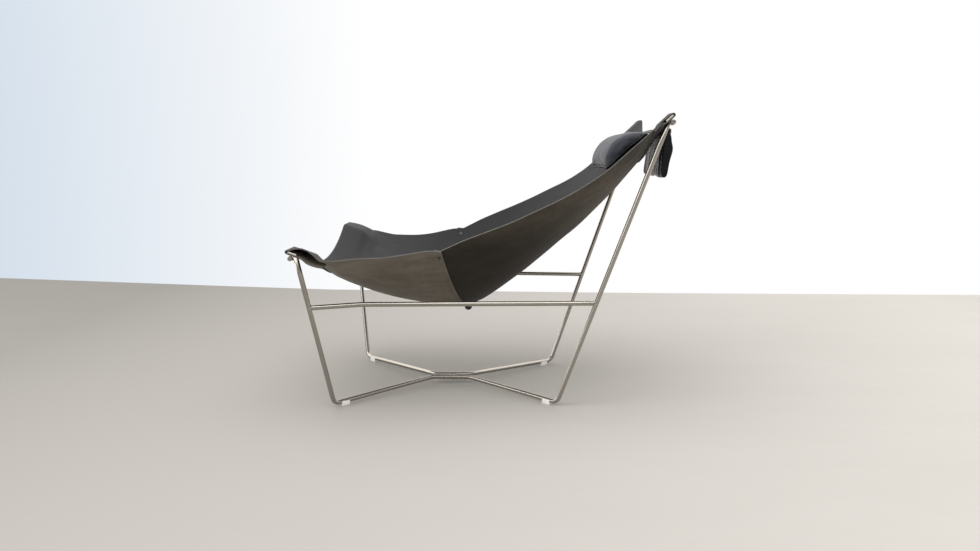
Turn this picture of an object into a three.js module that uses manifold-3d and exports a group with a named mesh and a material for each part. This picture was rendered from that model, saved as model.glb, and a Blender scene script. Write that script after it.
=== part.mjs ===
// A leather sling lounge chair: two bent rod side frames bolted together at the middle of the base,
// four short cross rods that carry a two-panel leather sling, and a headrest with a counterweight.
// Millimetres. x runs to the sitter's left, y to the rear and z up.

import * as THREE from "three";
import { mergeVertices } from "three/addons/utils/BufferGeometryUtils.js";
import Module from "manifold-3d";

const wasm = await Module();
wasm.setup();

// Sizes that many pieces share
const clearance = 0.3;
const rodDiameter = 12;
const rodRadius = rodDiameter / 2;
const leather = 2.8;
const cutOverrun = 20;

// Frame: the corners that the rod's centre line would have without its bends, from the middle of the base
const floorToRod = 10;
const frontFoot = { x: 241, y: -285 };
const rearFoot = { x: 210.5, y: 285 };
const spine = { x: 16.6, front: -56.3, rear: 50.3, height: 19.4 };
const footBend = 22;
const spineBend = 34;
const bar = { height: 274.9, bendX: 271.2, bendY: -201.2, bend: 60 };

// Heads: the cross rods at the leg tops and the strips that hold the hems down on them
const head = { length: 60, strip: 22.5, stripThick: 4, bevel: 0.6, stripCorner: 2.5, stripInset: 5.6 };
const frontHead = { y: -349.6, z: 400.9, end: 367.6, tilt: -19.1, hemIn: 5.6, legIn: 8.4, legPast: 10 };
const rearHead = { y: 542.9, z: 716.3, end: 294.3, tilt: 43.5, hemIn: 6.3, legIn: 16.1, legPast: 3, legBack: -8.4 };
frontHead.legBack = rodDiameter + 2 * clearance;
const screw = { head: 4, shank: 2, headDeep: 2, length: 10.5, spacing: 30 };

// Sling: the seam where both panels meet, seen at the sides and at the middle
const seam = { sideY: 6, sideZ: 408, midY: 52, depth: 184.5, halfWidth: 285, lap: 18 };
const frontHem = {
  halfWidth: frontHead.end - frontHead.hemIn,
  reach: 75,
  nosePast: 1.2,
  midNose: 2.4,
  puff: 15.4,
  droop: 7.7,
  heldDroop: 0,
  midDroop: 0,
  sag: 76,
  draw: 13.9,
  midTilt: -42.7,
};
const rearHem = {
  halfWidth: rearHead.end - rearHead.hemIn,
  reach: 75,
  nosePast: 0.6,
  midNose: 2.4,
  puff: 3,
  droop: -3.3,
  heldDroop: -3.3,
  midDroop: -6.3,
  sag: 62,
  draw: -11.2,
  midTilt: 64.4,
};

// Headrest pillow, its strap over the top hem and the counterweight behind the back
const pillow = { y: 400, z: 603, tilt: 40.9, depth: 137.5, crown: 37.5, belly: 34, halfWidth: 190, endBulge: 6 };
const cover = { thick: 1.6, slit: 3, slitLength: 260, slitDeep: 5, slitDown: 9 };
const strap = { halfWidth: 140, thick: 2.4 };
const pouch = { front: 543, rear: 571, low: 583, high: 690, wall: 2.2, mouth: 8 };
const ballast = { height: 50, inset: 12 };

// Small fittings
const rivet = { head: 4.5, headThick: 1.4, shank: 1.8, edgeShare: 0.955 };
const headTopShare = 0.8;
const stud = { radius: 10.5, height: 13, shank: 2.5, cap: 5, capThick: 2.6, capGap: 1.5, inFromEdge: 7 };
const glide = { length: 23, width: 15, height: 12.6, fromCorner: 32, corner: 2 };
const lug = { thick: 3, width: 16, past: 8, lowest: 17.7 };
const bolt = { radius: 2.75, head: 5, headHigh: 2.2, end: 8, nutAcross: 9, nutHigh: 4 };

const steel = { color: 0xb9b6b0, roughness: 0.32, metalness: 1 };
const black = { color: 0x1c1d20, roughness: 0.5, metalness: 0 };
const flesh = { color: 0x4d463e, roughness: 0.75, metalness: 0 };
const white = { color: 0xe9e8e4, roughness: 0.5, metalness: 0 };
const sides = [
  { name: "left", sign: 1 },
  { name: "right", sign: -1 },
];

// Facets round a rod, a small turned piece and a bend
const rodFacets = 16;
const turnedFacets = 16;
const bendSteps = 6;

const vector = (x, y, z) => new THREE.Vector3(x, y, z);
const flat = (y, z) => new THREE.Vector2(y, z);
const radians = THREE.MathUtils.degToRad;

// A closed geometry as a solid that can be cut, and back
function solidOf(geometry) {
  const bare = geometry.clone();
  bare.deleteAttribute("normal");
  bare.deleteAttribute("uv");
  const merged = mergeVertices(bare);
  const vertProperties = merged.attributes.position.array;
  const triVerts = new Uint32Array(merged.index.array);
  return new wasm.Manifold(new wasm.Mesh({ numProp: 3, vertProperties, triVerts }));
}

function geometryOf(solid) {
  const { vertProperties, triVerts } = solid.getMesh();
  const geometry = new THREE.BufferGeometry();
  geometry.setAttribute("position", new THREE.BufferAttribute(vertProperties, 3));
  geometry.setIndex(new THREE.BufferAttribute(triVerts, 1));
  geometry.computeVertexNormals();
  return geometry;
}

function cut(geometry, cutters) {
  return geometryOf(cutters.reduce((left, cutter) => left.subtract(solidOf(cutter)), solidOf(geometry)));
}

function named(name, geometry, finish) {
  const mesh = new THREE.Mesh(geometry, new THREE.MeshStandardMaterial(finish));
  mesh.name = name;
  return mesh;
}

// A rod's centre line: straight runs between corners, with each corner rounded to an arc
class RodPath extends THREE.Curve {
  constructor(corners, radii) {
    super();
    this.stations = [];
    corners.forEach((corner, index) => this.addCorner(corners, index, radii[index]));
  }

  addCorner(corners, index, radius) {
    const corner = corners[index];
    const before = corners[index - 1];
    const after = corners[index + 1];
    if (!before || !after) {
      const ahead = after ? after.clone().sub(corner) : corner.clone().sub(before);
      this.stations.push({ point: corner.clone(), tangent: ahead.normalize() });
      return;
    }
    const into = corner.clone().sub(before).normalize();
    const out = after.clone().sub(corner).normalize();
    const axis = into.clone().cross(out).normalize();
    const angle = into.angleTo(out);
    const start = corner.clone().addScaledVector(into, -radius * Math.tan(angle / 2));
    const inward = axis.clone().cross(into);
    const centre = start.clone().addScaledVector(inward, radius);
    for (let step = 0; step <= bendSteps; step += 1) {
      const turn = (angle * step) / bendSteps;
      const arm = inward.clone().multiplyScalar(-radius).applyAxisAngle(axis, turn);
      this.stations.push({ point: centre.clone().add(arm), tangent: into.clone().applyAxisAngle(axis, turn) });
    }
  }

  get steps() {
    return this.stations.length - 1;
  }

  getPoint(share) {
    return this.stations[Math.round(share * this.steps)].point.clone();
  }

  getPointAt(share) {
    return this.getPoint(share);
  }

  getTangentAt(share) {
    return this.stations[Math.round(share * this.steps)].tangent.clone();
  }
}

function circle(radius, facets) {
  const corners = [];
  for (let i = 0; i < facets; i += 1) {
    const angle = (2 * Math.PI * (i + 0.5)) / facets;
    corners.push(flat(radius * Math.cos(angle), radius * Math.sin(angle)));
  }
  return new THREE.Shape(corners);
}

function rodAlong(corners, radii, radius = rodRadius) {
  const path = new RodPath(corners, radii);
  return new THREE.ExtrudeGeometry(circle(radius, rodFacets), { steps: path.steps, extrudePath: path });
}

function straightRod(from, to, radius) {
  return rodAlong([from, to], [0, 0], radius);
}

// A turned piece standing on z, from its outline of [radius, height] points that starts and ends on the axis
function turned(outline, facets = turnedFacets) {
  const points = outline.map(([radius, height]) => flat(radius, height));
  return new THREE.LatheGeometry(points, facets).rotateX(Math.PI / 2);
}

// A prism with its section in the y-z plane, between two places on x
function acrossPrism(section, fromX, toX) {
  const geometry = new THREE.ExtrudeGeometry(new THREE.Shape(section), { depth: toX - fromX, bevelEnabled: false });
  const turn = new THREE.Matrix4().makeBasis(vector(0, 1, 0), vector(0, 0, 1), vector(1, 0, 0));
  return geometry.applyMatrix4(turn).translate(fromX, 0, 0);
}

// A head's own axes in the y-z plane: along points from the fold to the panel, up points off the rod
function headAxes(tilt, facing) {
  const slope = radians(tilt);
  const along = flat(Math.cos(slope), Math.sin(slope)).multiplyScalar(facing);
  const up = flat(-Math.sin(slope), Math.cos(slope));
  return { along, up };
}

const frontAxes = headAxes(frontHead.tilt, 1);
const rearAxes = headAxes(rearHead.tilt, -1);
const returnPly = rodRadius + clearance + leather / 2;
const stripLow = returnPly + leather / 2 + clearance;
const upperPly = stripLow + head.stripThick + clearance + leather / 2;

function headPoint(place, axes, along, up) {
  return flat(place.y, place.z).addScaledVector(axes.along, along).addScaledVector(axes.up, up);
}

// Legs run straight from their foot corner past the cross rod
function legPoint(place, foot, sign, height) {
  const share = (height - floorToRod) / (place.z - floorToRod);
  const x = THREE.MathUtils.lerp(foot.x, place.end - place.legIn, share);
  const y = THREE.MathUtils.lerp(foot.y, place.y + place.legBack, share);
  return vector(sign * x, y, height);
}

function trimBlock(place, axes, sign) {
  const size = 3 * rodDiameter;
  const block = new THREE.BoxGeometry(size, size, size);
  const middle = headPoint(place, axes, 0, rodRadius + size / 2);
  block.rotateX(radians(place.tilt));
  return block.translate(sign * (place.end - place.legIn), middle.x, middle.y);
}

function sideFrame(sign) {
  const foot = (corner) => vector(sign * corner.x, corner.y, floorToRod);
  const corners = [
    legPoint(frontHead, frontFoot, sign, frontHead.z + frontHead.legPast),
    foot(frontFoot),
    vector(sign * spine.x, spine.front, spine.height),
    vector(sign * spine.x, spine.rear, spine.height),
    foot(rearFoot),
    legPoint(rearHead, rearFoot, sign, rearHead.z + rearHead.legPast),
  ];
  const bent = rodAlong(corners, [0, footBend, spineBend, spineBend, footBend, 0]);
  const rearRod = straightRod(
    vector(sign * rearHead.end, rearHead.y, rearHead.z),
    vector(sign * (rearHead.end - head.length), rearHead.y, rearHead.z),
    rodRadius + clearance,
  );
  return cut(bent, [trimBlock(frontHead, frontAxes, sign), trimBlock(rearHead, rearAxes, sign), rearRod]);
}

// The side bar ends in saddles round both legs
function sideBar(sign) {
  const ends = [
    { place: frontHead, foot: frontFoot },
    { place: rearHead, foot: rearFoot },
  ];
  const [frontEnd, rearEnd] = ends.map(({ place, foot }) => legPoint(place, foot, sign, bar.height));
  const bent = rodAlong([frontEnd, vector(sign * bar.bendX, bar.bendY, bar.height), rearEnd], [0, bar.bend, 0]);
  const legs = ends.map(({ place, foot }) =>
    straightRod(
      legPoint(place, foot, sign, bar.height - 2 * rodDiameter),
      legPoint(place, foot, sign, bar.height + 2 * rodDiameter),
      rodRadius + clearance,
    ),
  );
  return cut(bent, legs);
}

// Screws stand across the strip, two on each head
function screwOutline(grow) {
  return [
    [0, -screw.length - grow],
    [screw.shank + grow, -screw.length - grow],
    [screw.shank + grow, -screw.headDeep],
    [screw.head + grow, grow / 2],
    [0, grow / 2],
  ];
}

function onHead(geometry, place, axes, x) {
  const seat = headPoint(place, axes, 0, stripLow + head.stripThick);
  return geometry.rotateX(radians(place.tilt)).translate(x, seat.x, seat.y);
}

function screwPlaces(place, sign) {
  const middle = place.end - head.length / 2;
  return [-1, 1].map((step) => sign * (middle + (step * screw.spacing) / 2));
}

function headScrews(place, axes, sign, grow = 0) {
  return screwPlaces(place, sign).map((x) => onHead(turned(screwOutline(grow)), place, axes, x));
}

function crossRod(place, axes, sign) {
  const outline = [
    [0, 0],
    [rodRadius - head.bevel, 0],
    [rodRadius, head.bevel],
    [rodRadius, head.length - head.bevel],
    [rodRadius - head.bevel, head.length],
    [0, head.length],
  ];
  const rod = turned(outline).rotateY(Math.PI / 2);
  rod.translate(sign > 0 ? place.end - head.length : -place.end, place.y, place.z);
  return cut(rod, headScrews(place, axes, sign, clearance / 2));
}

function roundedPlate(length, width, corner) {
  const plate = new THREE.Shape();
  const [x, y] = [length / 2, width / 2];
  plate.absarc(x - corner, y - corner, corner, 0, Math.PI / 2);
  plate.absarc(corner - x, y - corner, corner, Math.PI / 2, Math.PI);
  plate.absarc(corner - x, corner - y, corner, Math.PI, 1.5 * Math.PI);
  plate.absarc(x - corner, corner - y, corner, 1.5 * Math.PI, 2 * Math.PI);
  return plate;
}

function hemStrip(place, axes, sign) {
  const length = head.length - 2 * head.stripInset;
  const shape = roundedPlate(length, head.strip, head.stripCorner);
  const plate = new THREE.ExtrudeGeometry(shape, { depth: head.stripThick, bevelEnabled: false, curveSegments: 2 });
  plate.translate(0, 0, -head.stripThick);
  onHead(plate, place, axes, sign * (place.end - head.stripInset - length / 2));
  return cut(plate, headScrews(place, axes, sign, clearance / 2));
}

// Sling lines: how far along each panel its stations lie, and how they sag below a straight line, as shares
const seatAlongShares = [0, 0.12, 0.33, 0.5, 0.68, 0.84, 1];
const seatSideSagShares = [0, 0.012, -0.036, -0.056, -0.05, -0.036, 0];
const seatMidSagShares = [0, -0.04, -0.084, -0.106, -0.1, -0.063, 0];
const backAlongShares = [0, 0.1, 0.214, 0.355, 0.553, 0.667, 0.77, 0.874, 1];
const backSideSagShares = [0, -0.016, -0.075, -0.14, -0.188, -0.19, -0.16, -0.105, 0];
const backMidSagShares = [0, -0.075, -0.129, -0.167, -0.188, -0.188, -0.15, -0.1, 0];

// Hem sections, from the panel over the strip to the fold and back under it: places along as shares of
// the hem's reach, and heights as shares of the puff over the strip and of the droop under it
const frontUpperShares = [
  [0.9, 0.1],
  [0.58, 0.75],
  [0.4, 0.98],
  [0.2, 0.95],
  [0.013, 0.55],
  [-0.13, 0.06],
];
const frontReturnShares = [
  [0.24, 0],
  [0.373, 0.29],
  [0.533, 0.87],
  [0.773, 1],
  [1.027, 0.69],
];
const rearUpperShares = [
  [0.507, 0.8],
  [0.33, 1],
  [0.16, 1],
  [0, 0.5],
];
const rearReturnShares = [
  [0, 0],
  [0.16, 0],
  [0.4, 0.15],
  [0.667, 0.45],
  [1, 1],
];

// Places across a panel as shares of its half width; the last stretch lies flat over the strip
const acrossShares = [0.04, 0.17, 0.3, 0.43, 0.56, 0.69, 0.8, 1];
const flatFromShare = 0.8;
const noseTurnShares = [0, 0.25, 0.5, 0.75, 1];
const seamCurveShare = 1;
const bellyCurveShare = 1.7;
const skewEndShare = 0.25;

// A hem has three sections: at its free end, held flat by the strip, and sagging at the panel's middle
function hemSection(place, axes, hem, tables, kind) {
  const puff = kind === "end" ? hem.puff : 0;
  const droop = { end: hem.droop, held: hem.heldDroop, middle: hem.midDroop }[kind];
  const nose = kind === "middle" ? hem.midNose : (upperPly - returnPly) / 2;
  const fold = -head.strip / 2 - hem.nosePast;
  const at = (along, up) => headPoint(place, axes, along, up);
  return [
    ...tables.upper.map(([along, rise]) => at(along * hem.reach, returnPly + 2 * nose + rise * puff)),
    ...noseTurnShares.map((share) => {
      const angle = share * Math.PI;
      return at(fold - nose * Math.sin(angle), returnPly + nose + nose * Math.cos(angle));
    }),
    ...tables.back.map(([along, fall]) => at(along * hem.reach, returnPly - fall * droop)),
  ];
}

function sagLine(start, end, alongShares, sagShares) {
  const points = alongShares.map((share, index) => {
    const point = start.clone().lerp(end, share);
    return point.add(flat(0, sagShares[index] * seam.depth));
  });
  return new THREE.SplineCurve(points);
}

// One panel as rows of stations from its seam to the end of its hem
function panelRows(place, axes, facing, hem, tables) {
  const midPlace = { y: place.y + hem.draw, z: place.z - hem.sag };
  const side = hemSection(place, axes, hem, tables, "end");
  const held = hemSection(place, axes, hem, tables, "held");
  const middle = hemSection(midPlace, headAxes(hem.midTilt, facing), hem, tables, "middle");
  const seamSide = flat(seam.sideY, seam.sideZ);
  const seamMid = flat(seam.midY, seam.sideZ - seam.depth);
  const sideLine = sagLine(seamSide, side[0], tables.along, tables.sideSag);
  const midLine = sagLine(seamMid, middle[0], tables.along, tables.midSag);
  const rows = [];
  for (let step = 0; step < tables.spans; step += 1) {
    const share = step / tables.spans;
    const edge = sideLine.getPoint(share);
    rows.push({ share, hemmed: 0, side: edge, held: edge, middle: midLine.getPoint(share) });
  }
  side.forEach((point, index) => {
    const hemmed = index === 0 ? 0.5 : 1;
    rows.push({ share: 1, hemmed, side: point, held: held[index], middle: middle[index] });
  });
  return rows.map((row) => ({ ...row, halfWidth: THREE.MathUtils.lerp(seam.halfWidth, hem.halfWidth, row.share) }));
}

// A panel's place across a row: along the belly curve, and in a hem a sag that ends at the strip
function rowPoint(row, across) {
  const t = Math.abs(across);
  const sagging = Math.min(1, (t / flatFromShare) ** 2);
  const open = (power) => THREE.MathUtils.lerp(t ** power, sagging, row.hemmed);
  const skew = THREE.MathUtils.lerp(seamCurveShare, bellyCurveShare, Math.min(1, row.share / skewEndShare));
  const outer = row.held.clone().lerp(row.side, Math.max(0, (t - flatFromShare) / (1 - flatFromShare)));
  const y = THREE.MathUtils.lerp(row.middle.x, outer.x, open(skew));
  const z = THREE.MathUtils.lerp(row.middle.y, outer.y, open(bellyCurveShare));
  return vector(across * row.halfWidth, y, z);
}

const columns = [...acrossShares.map((share) => -share).reverse(), ...acrossShares];
const gridOf = (rows) => rows.map((row) => columns.map((across) => rowPoint(row, across)));

// Unit normals of a grid of points, on the sitter's side of the leather
function gridNormals(grid) {
  return grid.map((row, i) =>
    row.map((point, j) => {
      const down = grid[Math.max(i - 1, 0)][j];
      const up = grid[Math.min(i + 1, grid.length - 1)][j];
      const right = row[Math.max(j - 1, 0)];
      const left = row[Math.min(j + 1, row.length - 1)];
      return left.clone().sub(right).cross(up.clone().sub(down)).normalize();
    }),
  );
}

function lifted(grid, height) {
  const normals = gridNormals(grid);
  return grid.map((row, i) => row.map((point, j) => point.clone().addScaledVector(normals[i][j], height)));
}

// A closed sheet: the grid thickened to both sides and closed along its four edges
function sheet(grid, thickness) {
  const faces = [lifted(grid, thickness / 2), lifted(grid, -thickness / 2)];
  const wide = grid[0].length;
  const deep = grid.length;
  const index = [];
  const at = (face, i, j) => (face * deep + i) * wide + j;
  const quad = (a, b, c, d) => index.push(a, b, c, a, c, d);
  for (let i = 0; i + 1 < deep; i += 1) {
    for (let j = 0; j + 1 < wide; j += 1) {
      quad(at(0, i, j), at(0, i, j + 1), at(0, i + 1, j + 1), at(0, i + 1, j));
      quad(at(1, i, j), at(1, i + 1, j), at(1, i + 1, j + 1), at(1, i, j + 1));
    }
    quad(at(0, i, 0), at(0, i + 1, 0), at(1, i + 1, 0), at(1, i, 0));
    quad(at(0, i, wide - 1), at(1, i, wide - 1), at(1, i + 1, wide - 1), at(0, i + 1, wide - 1));
  }
  for (let j = 0; j + 1 < wide; j += 1) {
    quad(at(0, 0, j), at(1, 0, j), at(1, 0, j + 1), at(0, 0, j + 1));
    quad(at(0, deep - 1, j), at(0, deep - 1, j + 1), at(1, deep - 1, j + 1), at(1, deep - 1, j));
  }
  const geometry = new THREE.BufferGeometry().setFromPoints(faces.flat(2));
  geometry.setIndex(index);
  geometry.computeVertexNormals();
  return geometry;
}

const seatTables = {
  spans: 11,
  along: seatAlongShares,
  sideSag: seatSideSagShares,
  midSag: seatMidSagShares,
  upper: frontUpperShares,
  back: frontReturnShares,
};
const backTables = {
  spans: 13,
  along: backAlongShares,
  sideSag: backSideSagShares,
  midSag: backMidSagShares,
  upper: rearUpperShares,
  back: rearReturnShares,
};

// The seat panel's grid runs from the end of its hem to the seam, with a row at the start of the lap
function seatGrid() {
  const rows = panelRows(frontHead, frontAxes, 1, frontHem, seatTables);
  const [edge, next] = gridOf(rows.slice(0, 2));
  const lapRow = edge.map((point, j) => {
    const inward = next[j].clone().sub(point);
    return point.clone().addScaledVector(inward.normalize(), seam.lap);
  });
  return [...gridOf(rows.slice(2)).reverse(), lapRow, edge];
}

// The back panel starts on the sitter's side of the seat panel's edge, then rises from it
function backGrid(seatPoints) {
  const lap = lifted(seatPoints, leather + clearance).slice(-2);
  const rows = panelRows(rearHead, rearAxes, -1, rearHem, backTables);
  return [...lap, ...gridOf(rows.slice(1))];
}

function headCutters(place, axes) {
  return sides.flatMap(({ sign }) => headScrews(place, axes, sign, clearance));
}

// Where something goes through the lap: halfway between the two lap rows of the seat's grid
function lapPlace(seatPoints, across) {
  const sign = Math.sign(across) || 1;
  const j = columns.findIndex((share) => share >= Math.abs(across));
  const share = (Math.abs(across) - columns[j - 1]) / (columns[j] - columns[j - 1]);
  const rows = seatPoints.slice(-2);
  const along = (row) => row[j - 1].clone().lerp(row[j], share);
  const [fore, aft] = rows.map(along);
  const point = fore.clone().lerp(aft, 0.5);
  const acrossWay = rows[1][j].clone().sub(rows[1][j - 1]);
  const normal = acrossWay.cross(aft.sub(fore)).normalize();
  point.x *= sign;
  normal.x *= sign;
  return { point, normal };
}

function throughLap(geometry, { point, normal }) {
  const turn = new THREE.Quaternion().setFromUnitVectors(vector(0, 0, 1), normal);
  return geometry.applyQuaternion(turn).translate(point.x, point.y, point.z);
}

function rivetBody() {
  const low = -leather / 2 - clearance;
  const high = 1.5 * leather + 2 * clearance;
  return turned([
    [0, low - rivet.headThick],
    [rivet.head * headTopShare, low - rivet.headThick],
    [rivet.head, low],
    [rivet.shank, low],
    [rivet.shank, high],
    [rivet.head, high],
    [rivet.head * headTopShare, high + rivet.headThick],
    [0, high + rivet.headThick],
  ]);
}

function pinCutter(radius) {
  return turned([
    [0, -cutOverrun],
    [radius, -cutOverrun],
    [radius, cutOverrun],
    [0, cutOverrun],
  ]);
}

const studDrumShare = 0.25;

// The stud under the seat hangs from a cap on the sitter's side, through both plies
function studBody(flange) {
  const drum = stud.height * studDrumShare;
  const dome = noseTurnShares.map((share) => {
    const angle = (share * Math.PI) / 2;
    return [stud.radius * Math.sin(angle), flange - drum - (stud.height - drum) * Math.cos(angle)];
  });
  const top = flange + 2 * leather + stud.capGap + stud.capThick / 2;
  return turned([...dome, [stud.radius, flange], [stud.shank, flange], [stud.shank, top], [0, top]]);
}

function studCap(flange) {
  const low = flange + 2 * leather + stud.capGap;
  const high = low + stud.capThick;
  const bore = stud.shank + clearance;
  const roof = (low + high) / 2 + clearance;
  return turned([
    [0, roof],
    [bore, roof],
    [bore, low],
    [stud.cap, low],
    [stud.cap, (low + high) / 2],
    [stud.cap / 2, high],
    [0, high],
  ]);
}

// A hem's highest place under the strap
function hemTop() {
  const rows = panelRows(rearHead, rearAxes, -1, rearHem, backTables);
  const heights = rows.map((row) => rowPoint(row, strap.halfWidth / row.halfWidth).z);
  return Math.max(...heights) + leather / 2;
}

// The pillow: a section in the back's slope, swelling towards the middle and flat at its ends
const pillowOutlineShares = [
  [0, 0],
  [0.02, 0.22],
  [0.11, 0.52],
  [0.224, 0.78],
  [0.36, 0.95],
  [0.52, 1],
  [0.7, 0.84],
  [0.87, 0.45],
  [1, 0],
  [0.87, -0.6],
  [0.62, -0.97],
  [0.38, -1],
  [0.13, -0.6],
];
const pillowWidthShares = [-1, -0.93, -0.75, -0.4, 0, 0.4, 0.75, 0.93, 1];
const pillowSwellShares = [0.8, 0.94, 1, 1, 1, 1, 1, 0.94, 0.8];
const pillowBellyShares = [0.3, 0.5, 0.7, 0.9, 1, 0.9, 0.7, 0.5, 0.3];

function pillowSection(index, inset) {
  const slope = radians(pillow.tilt);
  const x = pillowWidthShares[index] * (pillow.halfWidth - inset);
  return pillowOutlineShares.map(([along, height]) => {
    const depth = pillow.depth / 2 + (along - 0.5) * (pillow.depth - 2 * inset);
    const bulge = height > 0 ? pillow.crown * pillowSwellShares[index] : pillow.belly * pillowBellyShares[index];
    const up = height * (bulge - inset);
    const y = pillow.y + depth * Math.cos(slope) - up * Math.sin(slope);
    return vector(x, y, pillow.z + depth * Math.sin(slope) + up * Math.cos(slope));
  });
}

function pillowBody(inset) {
  const sections = pillowWidthShares.map((share, index) => pillowSection(index, inset));
  const round = pillowOutlineShares.length;
  const ends = [0, sections.length - 1].map((index) => {
    const middle = sections[index].reduce((sum, point) => sum.add(point), vector(0, 0, 0));
    middle.divideScalar(round);
    middle.x += Math.sign(pillowWidthShares[index]) * pillow.endBulge;
    return middle;
  });
  const index = [];
  for (let i = 0; i + 1 < sections.length; i += 1) {
    for (let j = 0; j < round; j += 1) {
      const [a, b] = [i * round + j, i * round + ((j + 1) % round)];
      index.push(a, b + round, b, a, a + round, b + round);
    }
  }
  const last = (sections.length - 1) * round;
  const firstEnd = sections.length * round;
  for (let j = 0; j < round; j += 1) {
    const next = (j + 1) % round;
    index.push(firstEnd, j, next);
    index.push(firstEnd + 1, last + next, last + j);
  }
  const geometry = new THREE.BufferGeometry().setFromPoints([...sections.flat(), ...ends]);
  geometry.setIndex(index);
  geometry.computeVertexNormals();
  return geometry;
}

// The cover has a slit along its lower rear edge, where the filling goes in
function pillowCover() {
  const slope = radians(pillow.tilt);
  const slit = new THREE.BoxGeometry(cover.slitLength, cutOverrun, cover.slit);
  slit.rotateX(slope);
  const along = pillow.depth - cover.slitDeep;
  const down = cover.slitDown;
  const y = pillow.y + along * Math.cos(slope) + down * Math.sin(slope);
  slit.translate(0, y, pillow.z + along * Math.sin(slope) - down * Math.cos(slope));
  return cut(pillowBody(0), [pillowBody(cover.thick), slit]);
}

// A band of even thickness along a line in the y-z plane
function band(points, thickness, halfWidth) {
  const line = new THREE.SplineCurve(points).getPoints(3 * (points.length - 1));
  const rim = (offset) =>
    line.map((point, index) => {
      const ahead = line[Math.min(index + 1, line.length - 1)];
      const behind = line[Math.max(index - 1, 0)];
      const way = ahead.clone().sub(behind).normalize();
      return flat(point.x - way.y * offset, point.y + way.x * offset);
    });
  return acrossPrism([...rim(thickness / 2), ...rim(-thickness / 2).reverse()], -halfWidth, halfWidth);
}

// The strap's line from the pillow's rear edge over the hem: places along its run and up its rise
const strapShares = [
  [0.16, 0.7],
  [0.36, 1],
  [0.64, 1.06],
  [0.9, 1.06],
  [1.07, 0.8],
];

function strapBand() {
  const slope = radians(pillow.tilt);
  const edge = flat(pillow.y + pillow.depth * Math.cos(slope), pillow.z + pillow.depth * Math.sin(slope));
  const over = hemTop() + clearance + strap.thick / 2;
  const run = (pouch.front + pouch.rear) / 2 - edge.x;
  const rise = over - edge.y;
  const line = strapShares.map(([along, up]) => flat(edge.x + run * along, edge.y + rise * up));
  const start = edge.clone().add(flat(clearance, clearance));
  const end = flat(line[line.length - 1].x, pouch.high + 2 * clearance);
  return band([start, ...line, end], strap.thick, strap.halfWidth);
}

// The pouch: narrow at the bottom, fullest at two thirds of its height, open at the top under the strap
const pouchOutlineShares = [
  [0, 0],
  [0.55, 0],
  [0.8, 0.33],
  [1, 0.66],
  [0.93, 0.82],
  [0.84, 1],
  [0.4, 1],
  [0.2, 0.7],
  [0.05, 0.32],
];

function pouchSection(inset) {
  const thick = pouch.rear - pouch.front;
  const tall = pouch.high - pouch.low;
  return pouchOutlineShares.map(([back, up]) => {
    const y = pouch.front + inset + back * (thick - 2 * inset);
    return flat(y, pouch.low + inset + up * (tall - 2 * inset));
  });
}

function pouchBody() {
  const outer = acrossPrism(pouchSection(0), -strap.halfWidth, strap.halfWidth);
  const inside = strap.halfWidth - pouch.wall;
  const inner = acrossPrism(pouchSection(pouch.wall), -inside, inside);
  const mouth = new THREE.BoxGeometry(inside, pouch.mouth, cutOverrun);
  mouth.translate(0, (pouch.front + pouch.rear) / 2, pouch.high);
  return cut(outer, [inner, mouth]);
}

// The bar stands on the pouch's floor, between its front and rear walls
const barFrontShare = 0.13;
const barRearShare = 0.55;

function ballastBar() {
  const inside = pouch.rear - pouch.front - 2 * pouch.wall;
  const [front, rear] = [barFrontShare, barRearShare].map((share) => pouch.front + pouch.wall + inside * share);
  const width = 2 * (strap.halfWidth - ballast.inset);
  const bar = new THREE.BoxGeometry(width, rear - front - 2 * clearance, ballast.height);
  const low = pouch.low + pouch.wall + clearance;
  return bar.translate(0, (front + rear) / 2, low + ballast.height / 2);
}

// A clip-on glide: a flat-bottomed block round the lower half of a base rod, beside its foot bend
function glideClip(foot, spineY, sign) {
  const corner = vector(sign * foot.x, foot.y, floorToRod);
  const towards = vector(sign * spine.x, spineY, spine.height).sub(corner).normalize();
  const centre = corner.clone().addScaledVector(towards, glide.fromCorner);
  const half = glide.width / 2;
  const section = new THREE.Shape([
    flat(-half + glide.corner, 0),
    flat(half - glide.corner, 0),
    flat(half, glide.corner),
    flat(half, glide.height - glide.corner),
    flat(half - glide.corner, glide.height),
    flat(glide.corner - half, glide.height),
    flat(-half, glide.height - glide.corner),
    flat(-half, glide.corner),
  ]);
  const block = new THREE.ExtrudeGeometry(section, { depth: glide.length, bevelEnabled: false });
  block.rotateX(Math.PI / 2).translate(0, glide.length / 2, 0);
  block.rotateZ(Math.atan2(towards.y, towards.x) - Math.PI / 2).translate(centre.x, centre.y, 0);
  const reach = glide.length;
  const from = centre.clone().addScaledVector(towards, -reach);
  const rod = straightRod(from, centre.clone().addScaledVector(towards, reach), rodRadius + clearance);
  return cut(block, [rod]);
}

// Two lapped lugs, one on each side frame, and the bolt and nut that hold the frames together
function baseLug(sign, low) {
  const reach = spine.x + lug.past;
  const plate = new THREE.BoxGeometry(reach, lug.width, lug.thick);
  plate.translate(sign * (spine.x - reach / 2), 0, low + lug.thick / 2);
  const from = vector(sign * spine.x, -lug.width, spine.height);
  const rod = straightRod(from, vector(sign * spine.x, lug.width, spine.height), rodRadius + clearance);
  return cut(plate, [rod, pinCutter(bolt.radius + clearance).translate(0, 0, low)]);
}

const upperLug = lug.lowest + lug.thick + clearance;
const boltSeat = upperLug + lug.thick + clearance;

function baseBolt() {
  return turned([
    [0, bolt.end],
    [bolt.radius, bolt.end],
    [bolt.radius, boltSeat],
    [bolt.head, boltSeat],
    [bolt.head * headTopShare, boltSeat + bolt.headHigh],
    [0, boltSeat + bolt.headHigh],
  ]);
}

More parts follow.
